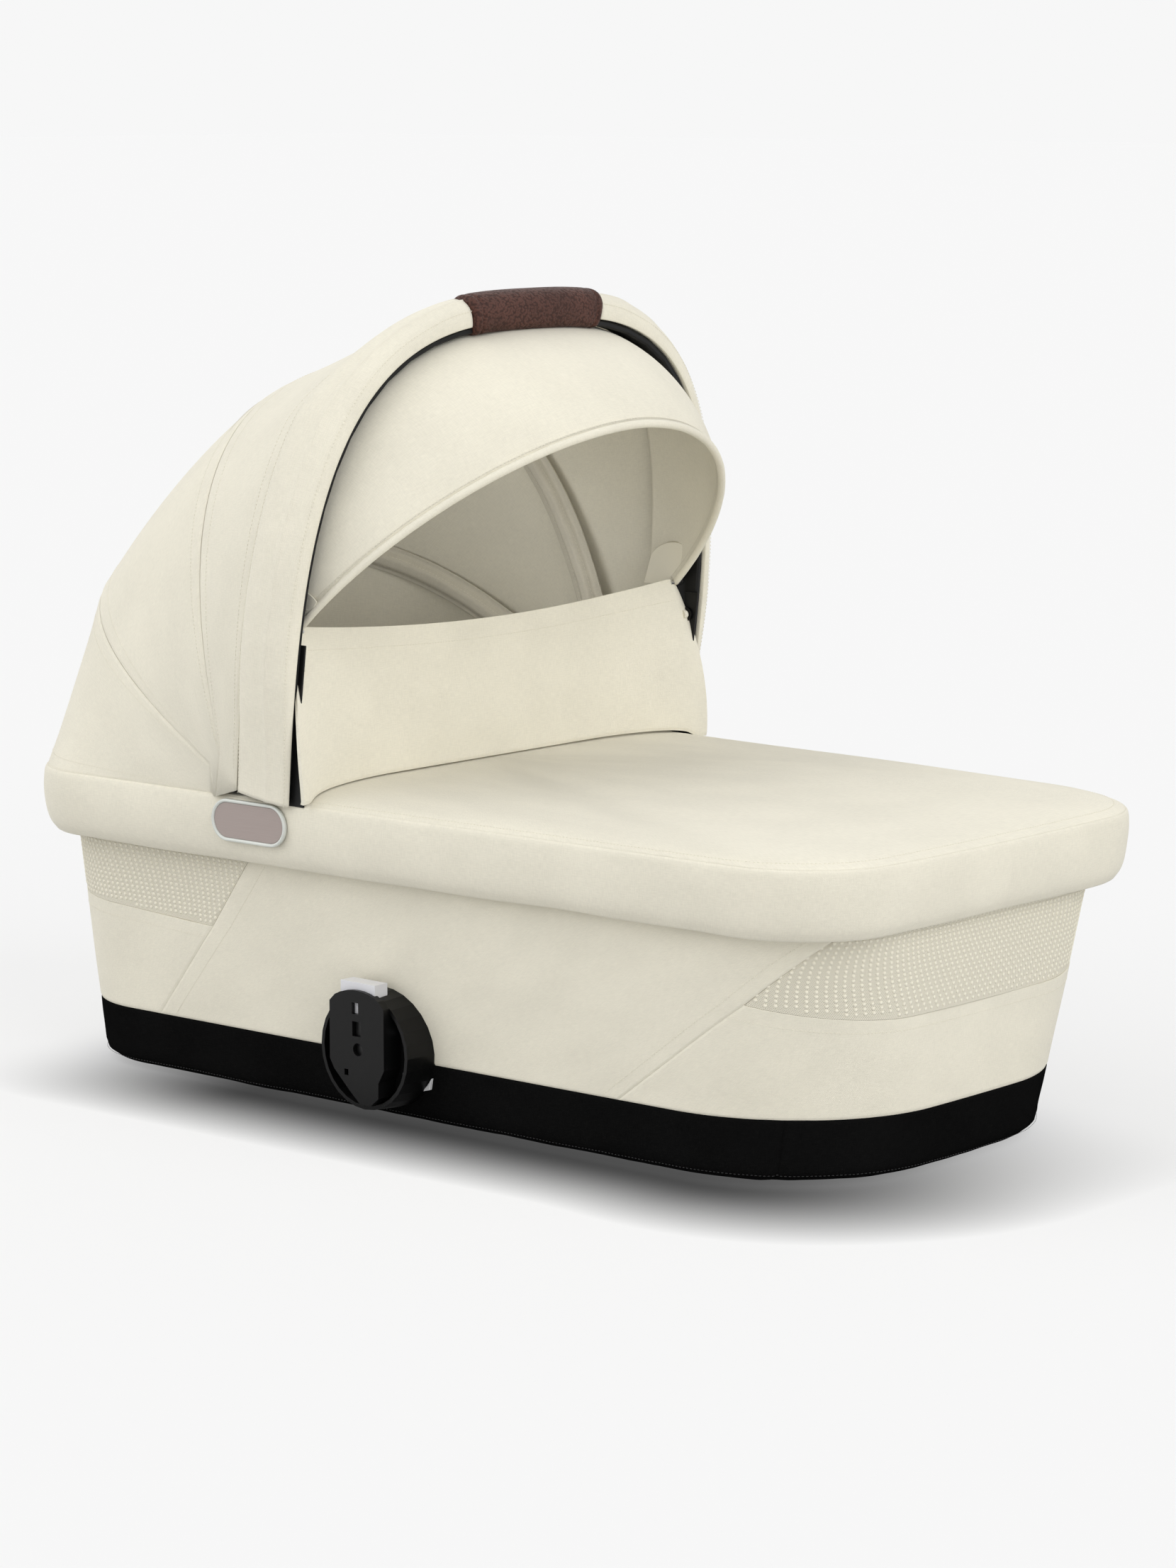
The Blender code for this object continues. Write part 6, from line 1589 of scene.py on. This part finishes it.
class CARRYCOT_OT_visor(bpy.types.Operator):
    """Sun visor: cloth between the handle's inner band and a bound, sprung hem"""

    bl_idname = "carrycot.visor"
    bl_label = "Sun visor"

    def execute(self, context):
        angle = VISOR_HEM[0]
        behind = np.array((-math.cos(angle), 0, -math.sin(angle))) * (VISOR_HEM_RADIUS * 0.6)
        hem_line = self.hem_arch(200, VISOR_START) + behind
        self.cloth(hem_line)
        self.corners(np.abs(hem_line[[0, -1], 1]).min() + 0.0008)
        self.hem()
        return {"FINISHED"}

    def hem_arch(self, steps, start=0.0):
        angle, reach, half, square = VISOR_HEM
        return arch(VISOR_X, VISOR_Z, angle, half, reach, square, start=start, steps=steps)

    def cloth(self, hem_line):
        """Cloth from the hem to the rear edge of the handle's inner band."""
        centre = (-0.15, 0, 0.36)
        point, across, outward = handle_frames(500)
        core = handle_size(point[:, 2])[2]
        high = point[:, 2] > VISOR_Z + VISOR_START
        inner = point - outward * (CORE_THICKNESS + VISOR_ROOT_DEPTH)
        root = even((inner - across * (core + VISOR_ROOT_TUCK)[:, None])[high], len(hem_line) - 1)
        turns = [np.arctan2(line[:, 0] - VISOR_X, line[:, 2] - VISOR_Z) for line in (hem_line, root)]
        reaches = [np.hypot(line[:, 0] - VISOR_X, line[:, 2] - VISOR_Z) for line in (hem_line, root)]
        shares = np.concatenate([VISOR_FIRST_ROWS, np.linspace(0.06, 1, 34)])
        along = shares[:, None]
        turn = mix(*turns, along)
        reach = mix(*reaches, along) * (1 + VISOR_SWELL * 4 * along * (1 - along))
        flat = np.stack([VISOR_X + reach * np.sin(turn), mix(hem_line[:, 1], root[:, 1], along),
                         VISOR_Z + reach * np.cos(turn)], axis=-1)
        points = sewn(flat, centre, ("low",), depth=0.0003, soft=0.0010, scale=9.0, seed=71, pucker=0.0002)
        panel = plain(thicken(piece_from("visor_cloth", points, centre), VISOR_THICKNESS - 0.0004))
        middle = len(hem_line) // 2
        finished_panel(panel, points, 1 - shares, ("handle", "visor"), (root[middle], hem_line[middle]),
                       "visor_panel")

    def corners(self, outer):
        """Small cloth corner at each pivot, between the hem and the handle's leg."""
        turns = [VISOR_HEM[0] + VISOR_CORNER_TURN * share for share in np.linspace(0.03, 1, 12)]
        base = VISOR_Z - VISOR_CORNER_DROP
        outline = [(VISOR_X, base), (VISOR_X - VISOR_CORNER, base)]
        outline[1:1] = [(VISOR_X - VISOR_CORNER * math.sin(turn), VISOR_Z + VISOR_CORNER * math.cos(turn))
                        for turn in turns]
        for name, side in SIDES:
            patch = wedge("visor_corner_" + name, outline, side, outer - 0.0012, outer)
            finished(patch, finish("cream"), "visor", "cream_fabric")

    def hem(self):
        """Bound hem: a round edge over its spring, with a flat tail that holds the cloth."""
        point, across, outward = arch_frames(self.hem_arch(260), VISOR_HEM[0])
        section = [(math.cos(a) * VISOR_HEM_RADIUS, math.sin(a) * VISOR_HEM_RADIUS)
                   for a in np.linspace(math.radians(205), math.radians(-150), 22)]
        b, n = np.array((*section, *VISOR_HEM_TAIL)).T
        grid = point[:, None] + across * b[None, :, None] + outward[:, None] * n[None, :, None]
        grid = grid + outward[:, None] * (0.0002 * rippled(grid, 90.0, 73))[..., None]
        hem = tube("visor_hem_binding", grid, point)
        finished(hem, finish("cream"), "visor", "cream_fabric", "visor_hem")
        line = point - across * 0.0044 + outward * 0.0021
        stitches("visor_stitches", [line[8:-8]], "cream_thread", "visor", "cream_fabric")


class CARRYCOT_OT_inside(bpy.types.Operator):
    """Lining of the tub and the mattress with its sewn channels"""

    bl_idname = "carrycot.inside"
    bl_label = "Lining and mattress"

    def execute(self, context):
        sewing = context.scene.carrycot_sewing
        low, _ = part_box("lining")
        centre = (0, 0, 0.12)
        rings = [wall_ring(z, LINING_DEPTH) for z in np.linspace(low.z, WALL_LEVELS[-1][0], 34)]
        rings[0][:, 2] = low.z
        for z, inset in ((LINING_KNEE_Z, LINING_KNEE_INSET), (LINING_TOP, LINING_TOP_INSET)):
            start, end = rings[-1], rim_ring(z, inset)
            rings += [mix(start, end, share) for share in np.linspace(0, 1, 8)[1:]]
        shares = np.linspace(0, 1, 460, endpoint=False)
        flat = np.array([loop.at(shares * loop.length) for loop in map(Loop, rings)])
        normal = normals_of(flat, centre, wrap=True)
        up = np.linspace(0, 1, len(flat))[:, None]
        shift = 0.0006 * (rippled(flat, 14.0, 81) + 1) * np.sin(math.pi * up)
        points = flat - normal * shift[..., None]
        lining = thicken(piece_from("lining_cloth", points, centre, wrap=True), sewing.cloth)
        finished(lining, finish("lining"), "cot", "lining_fabric", "lining")
        declare_cloth(points)

        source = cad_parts["mattress"]
        pad = object_from("mattress_cushion", source.data.copy())
        pad.matrix_world = source.matrix_world.copy()
        step = pad.modifiers.new("Even", "REMESH")
        step.mode = "VOXEL"
        step.voxel_size = MATTRESS_VOXEL
        pad = plain(pad)
        puff(pad, *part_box("mattress"))
        step = pad.modifiers.new("Soft", "SUBSURF")
        step.levels = step.render_levels = 1
        pad = plain(pad)
        pad.data.shade_smooth()
        finished(pad, finish("mattress"), "cot", "mattress_cover", "mattress")
        return {"FINISHED"}


def puff(pad, low, high):
    """Blow up the cushion a little as cloth, held along its floor and its channels."""
    scene = bpy.context.scene
    rest = np.array([v.co for v in pad.data.vertices])
    pitch = (high.x - low.x) / MATTRESS_CHANNELS
    from_channel = np.abs((rest[:, 0] - low.x + pitch / 2) % pitch - pitch / 2)
    in_channel = from_channel < MATTRESS_CHANNEL_HALF
    in_channel &= np.abs(rest[:, 1]) < MATTRESS_CHANNEL_REACH * high.y
    held = (rest[:, 2] < low.z + MATTRESS_FLOOR) | in_channel
    group = pad.vertex_groups.new(name="held")
    group.add(np.nonzero(held)[0].tolist(), 1.0, "REPLACE")
    step = pad.modifiers.new("Cloth", "CLOTH")
    cloth = step.settings
    cloth.vertex_group_mass = "held"
    cloth.quality = 5
    cloth.mass = 0.3
    cloth.tension_stiffness = cloth.compression_stiffness = 18
    cloth.bending_stiffness = 0.6
    cloth.use_pressure = True
    cloth.uniform_pressure_force = MATTRESS_PRESSURE
    cloth.effector_weights.gravity = 0
    step.collision_settings.use_collision = False
    step.point_cache.frame_end = MATTRESS_FRAMES
    for moment in range(1, MATTRESS_FRAMES + 1):
        scene.frame_set(moment)
    shaped = pad.evaluated_get(bpy.context.evaluated_depsgraph_get())
    shift = np.array([v.co for v in shaped.data.vertices]) - rest
    pad.modifiers.remove(step)
    pad.vertex_groups.clear()
    scene.frame_set(1)
    far = np.linalg.norm(shift, axis=1, keepdims=True)
    moved = rest + shift * np.minimum(1, MATTRESS_SWELL / np.maximum(far, 1e-9))
    moved = np.clip(moved, np.array(low), np.array((high.x, high.y, high.z + MATTRESS_RISE)))
    pad.data.vertices.foreach_set("co", moved.astype(np.float32).ravel())
    pad.data.update()


class CARRYCOT_OT_badges(bpy.types.Operator):
    """Bare pill on each side of the rim: pale raised edge round a taupe face"""

    bl_idname = "carrycot.badges"
    bl_label = "Badges"

    def execute(self, context):
        lean = math.atan(TAPER * HALF_WIDTH)
        straight = BADGE_HALF_LENGTH - BADGE_HALF_HEIGHT
        turn = np.linspace(-math.pi / 2, 1.5 * math.pi, 97)[:-1]
        middle = np.where(np.cos(turn) >= -1e-9, straight, -straight)
        centre = (BADGE_X, 0, BADGE_Z)
        face = side_y(BADGE_X, 0) + GAP
        for name, side in SIDES:
            angle = -side * lean

            def line(inset, height):
                """Outline of the pill at an inset and a height over the rim's cloth."""
                radius = BADGE_HALF_HEIGHT - inset
                x = middle + radius * np.cos(turn)
                y = side * (GAP + height)
                return np.column_stack([BADGE_X + x * math.cos(angle) - y * math.sin(angle),
                                        side * face + x * math.sin(angle) + y * math.cos(angle),
                                        BADGE_Z + radius * np.sin(turn)])

            rim = [line(0, 0)] + [line(inset, BADGE_THICKNESS - drop) for inset, drop in BADGE_RIM_SECTION]
            edge = piece_from("badge_%s_rim" % name, np.array(rim), centre, wrap=True)
            thicken(edge, 0.0004)
            finished(edge, finish("badge_rim"), "cot", "badge_plastic", "badge_" + name)
            dish = [line(inset, BADGE_THICKNESS - drop) for inset, drop in BADGE_FACE_SECTION]
            dish += [line(mix(BADGE_RIM + BADGE_FACE_EDGE, BADGE_HALF_HEIGHT - BADGE_FACE_EDGE, share),
                          BADGE_THICKNESS - BADGE_FACE_DEPTH) for share in (0, 0.3, 0.65, 1)]
            plate = capped(piece_from("badge_%s_face" % name, np.array(dish), centre, wrap=True))
            finished(plate, finish("badge_face"), "cot", "badge_plastic")
        return {"FINISHED"}


HARD_FINISHES = (
    ("adapter_housing", "plastic"), ("adapter_plate", "plastic"), ("adapter_screw", "steel"),
    ("release_button", "slider"), ("release_spring", "steel"), ("side_column", "plastic"),
    ("hub_bracket", "plastic"), ("pivot_pin", "steel"), ("rim_hoop", "aluminium"), ("floor_board", "board"),
    ("base_pad", "rubber"), ("base_tub", "plastic"), ("rear_bow", "steel"), ("middle_bow", "steel"),
    ("handle_core", "core"), ("popper_stud", "plastic"), ("popper_socket", "plastic"),
    ("visor_pivot", "steel"),
)


class CARRYCOT_OT_hard_parts(bpy.types.Operator):
    """Finishes of the moulded, turned and bent parts that show as they are"""

    bl_idname = "carrycot.hard_parts"
    bl_label = "Hard parts"

    def execute(self, context):
        for name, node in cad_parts.items():
            kind = next((k for start, k in HARD_FINISHES if name.startswith(start)), None)
            for place in node.material_slots if kind else ():
                place.material = finish(kind)
        for name, _ in SIDES:
            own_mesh(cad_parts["release_spring_" + name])
        return {"FINISHED"}


class CARRYCOT_OT_base_tabs(bpy.types.Operator):
    """Pale corner of the base that shows beside each adapter's lower edge"""

    bl_idname = "carrycot.base_tabs"
    bl_label = "Base tabs"

    def execute(self, context):
        for name, side in SIDES:
            inner = side_y(TAB_X, wall_level(TAB_Z)[0])
            corners = [(TAB_X + x, TAB_Z + z) for x, z in TAB_CORNERS]
            tab = wedge("base_tab_" + name, corners, side, inner, inner + TAB_THICKNESS)
            finished(tab, finish("slider_rim"), "cot", "grey_plastic")
        return {"FINISHED"}


def towards(azimuth, height):
    """Direction to a place at this azimuth, from the left side round to the foot end, and this height."""
    level = math.cos(height)
    return Vector((level * math.sin(azimuth), -level * math.cos(azimuth), math.sin(height)))


def lamp_from(name, kind, power, back):
    """Lamp that shines away from a direction."""
    lamp = bpy.data.lights.new(name, kind)
    lamp.energy = power
    holder = object_from(name, lamp)
    holder.rotation_mode = "QUATERNION"
    holder.rotation_quaternion = back.to_track_quat("Z", "Y")
    return holder


class CARRYCOT_OT_stage(bpy.types.Operator):
    """Pale floor, even sky, soft lamps and the camera"""

    bl_idname = "carrycot.stage"
    bl_label = "Stage"

    def execute(self, context):
        scene = context.scene
        stage = scene.carrycot_stage
        scene.view_settings.view_transform = "Standard"
        backdrop = tuple(stage.floor)
        self.sky(scene, stage.sky, backdrop)
        floor = self.floor(backdrop)

        lamps = []
        for name, spread, azimuth, height in LAMPS:
            back = towards(math.radians(azimuth), math.radians(height))
            lamps.append(lamp_from(name, "SUN", getattr(stage, name), back))
            lamps[-1].data.angle = math.radians(spread)
        glow = lamp_from("hood_glow", "AREA", stage.hood, Vector(HOOD_LAMP_BACK))
        glow.data.shape = "DISK"
        glow.data.size = HOOD_LAMP_SIZE
        glow.location = HOOD_LAMP_PLACE
        glow.visible_camera = False

        lens = bpy.data.cameras.new("camera")
        lens.sensor_fit = "VERTICAL"
        lens.sensor_height = CAMERA_SENSOR
        lens.lens = CAMERA_LENS
        camera = object_from("camera", lens)
        turn = towards(CAMERA_AZIMUTH, CAMERA_ELEVATION).to_track_quat("Z", "Y")
        camera.matrix_world = Matrix.Translation(CAMERA_PLACE) @ turn.to_matrix().to_4x4()
        scene.camera = camera
        return {"FINISHED"}

    def sky(self, scene, strength, backdrop):
        """Even light all round, behind which the camera, gloss and glass see the backdrop."""
        world = bpy.data.worlds.new("studio")
        world.use_nodes = True
        scene.world = world
        made = Nodes(world.node_tree)
        light = world.node_tree.nodes["Background"]
        made.feed(light.inputs["Color"], (1, 1, 1))
        made.feed(light.inputs["Strength"], strength)
        seen = made.node("ShaderNodeBackground", Color=backdrop)
        both = made.node("ShaderNodeMixShader", (),
                         {0: made.sees_backdrop(), 1: Wire(made, light.outputs[0]), 2: seen})
        made.feed(world.node_tree.nodes["World Output"].inputs["Surface"], both)

    def floor(self, backdrop):
        """Floor that takes the real shadow over part of its tone, and a painted contact shadow over all of
        it.
        """
        made = Finish("studio_floor", Specular_IOR_Level=0.0, Emission_Strength=1.0, Roughness=1.0)
        shown = made.sees_backdrop()
        x, y, _ = made.parts(made.place())
        # painted shadow: a rounded rectangle round the body, drawn into the floor's colour and glow, not
        # cast by the lamps
        onward = (abs(x) - (SHADOW_HALF_LENGTH - SHADOW_CORNER)).above(0)
        aside = (abs(y) / (1 - x * TAPER) - (SHADOW_HALF_WIDTH - SHADOW_CORNER)).above(0)
        away = (onward * onward + aside * aside) ** 0.5 - SHADOW_CORNER
        width = x.within(0.20, 0.45) * (SHADOW_WIDTH_FOOT - SHADOW_WIDTH) + SHADOW_WIDTH
        lit = ((away / width).above(0) ** SHADOW_FALLOFF).below(1)
        shadow = (1 - lit) * x.within(-0.42, -0.15) * (1 - y.within(-0.25, 0.20))
        black = (0, 0, 0)
        colour = made.blend(shadow, shade(backdrop, FLOOR_LIT * FLOOR_LIGHT), black)
        glow = made.blend(shadow, shade(backdrop, 1 - FLOOR_LIT), shade(backdrop, SHADOW_TONE))
        made.set(Base_Color=made.blend(shown, FLOOR_BOUNCE, colour),
                 Emission_Color=made.blend(shown, black, glow))
        mesh = bpy.data.meshes.new("studio_floor")
        corners = [(x * FLOOR_HALF, y * FLOOR_HALF, 0) for x, y in ((-1, -1), (1, -1), (1, 1), (-1, 1))]
        mesh.from_pydata(corners, [], [(0, 1, 2, 3)])
        mesh.materials.append(made.material)
        return object_from("studio_floor", mesh)


class CARRYCOT_PT_looks(bpy.types.Panel):
    """Sizes, colours and pieces of the carrycot's looks"""

    bl_idname = "CARRYCOT_PT_looks"
    bl_label = "Carrycot"
    bl_space_type = "VIEW_3D"
    bl_region_type = "UI"
    bl_category = "Carrycot"

    def draw(self, context):
        for name, _ in GROUPS:
            group = getattr(context.scene, name)
            box = self.layout.box()
            box.label(text=type(group).__doc__)
            for value in type(group).__annotations__:
                box.prop(group, value)
        for operator in OPERATORS:
            self.layout.operator(operator.bl_idname)


OPERATORS = (
    CARRYCOT_OT_base_band,
    CARRYCOT_OT_side_cover,
    CARRYCOT_OT_rim,
    CARRYCOT_OT_wind_flap,
    CARRYCOT_OT_handle,
    CARRYCOT_OT_hood,
    CARRYCOT_OT_visor,
    CARRYCOT_OT_inside,
    CARRYCOT_OT_badges,
    CARRYCOT_OT_hard_parts,
    CARRYCOT_OT_base_tabs,
    CARRYCOT_OT_stage,
)
GROUPS = (
    ("carrycot_sewing", CarrycotSewing),
    ("carrycot_colours", CarrycotColours),
    ("carrycot_stage", CarrycotStage),
)


def register():
    for name, group in GROUPS:
        bpy.utils.register_class(group)
        setattr(bpy.types.Scene, name, PointerProperty(type=group))
    for operator in OPERATORS:
        bpy.utils.register_class(operator)
    bpy.utils.register_class(CARRYCOT_PT_looks)


def unregister():
    bpy.utils.unregister_class(CARRYCOT_PT_looks)
    for operator in reversed(OPERATORS):
        bpy.utils.unregister_class(operator)
    for name, group in reversed(GROUPS):
        delattr(bpy.types.Scene, name)
        bpy.utils.unregister_class(group)


def main():
    register()
    bpy.ops.carrycot.hard_parts()
    bpy.ops.carrycot.base_band()
    bpy.ops.carrycot.side_cover()
    bpy.ops.carrycot.rim()
    bpy.ops.carrycot.wind_flap()
    bpy.ops.carrycot.handle()
    bpy.ops.carrycot.hood()
    bpy.ops.carrycot.visor()
    bpy.ops.carrycot.inside()
    bpy.ops.carrycot.badges()
    bpy.ops.carrycot.base_tabs()
    bpy.ops.carrycot.stage()


if __name__ == "__main__":
    main()
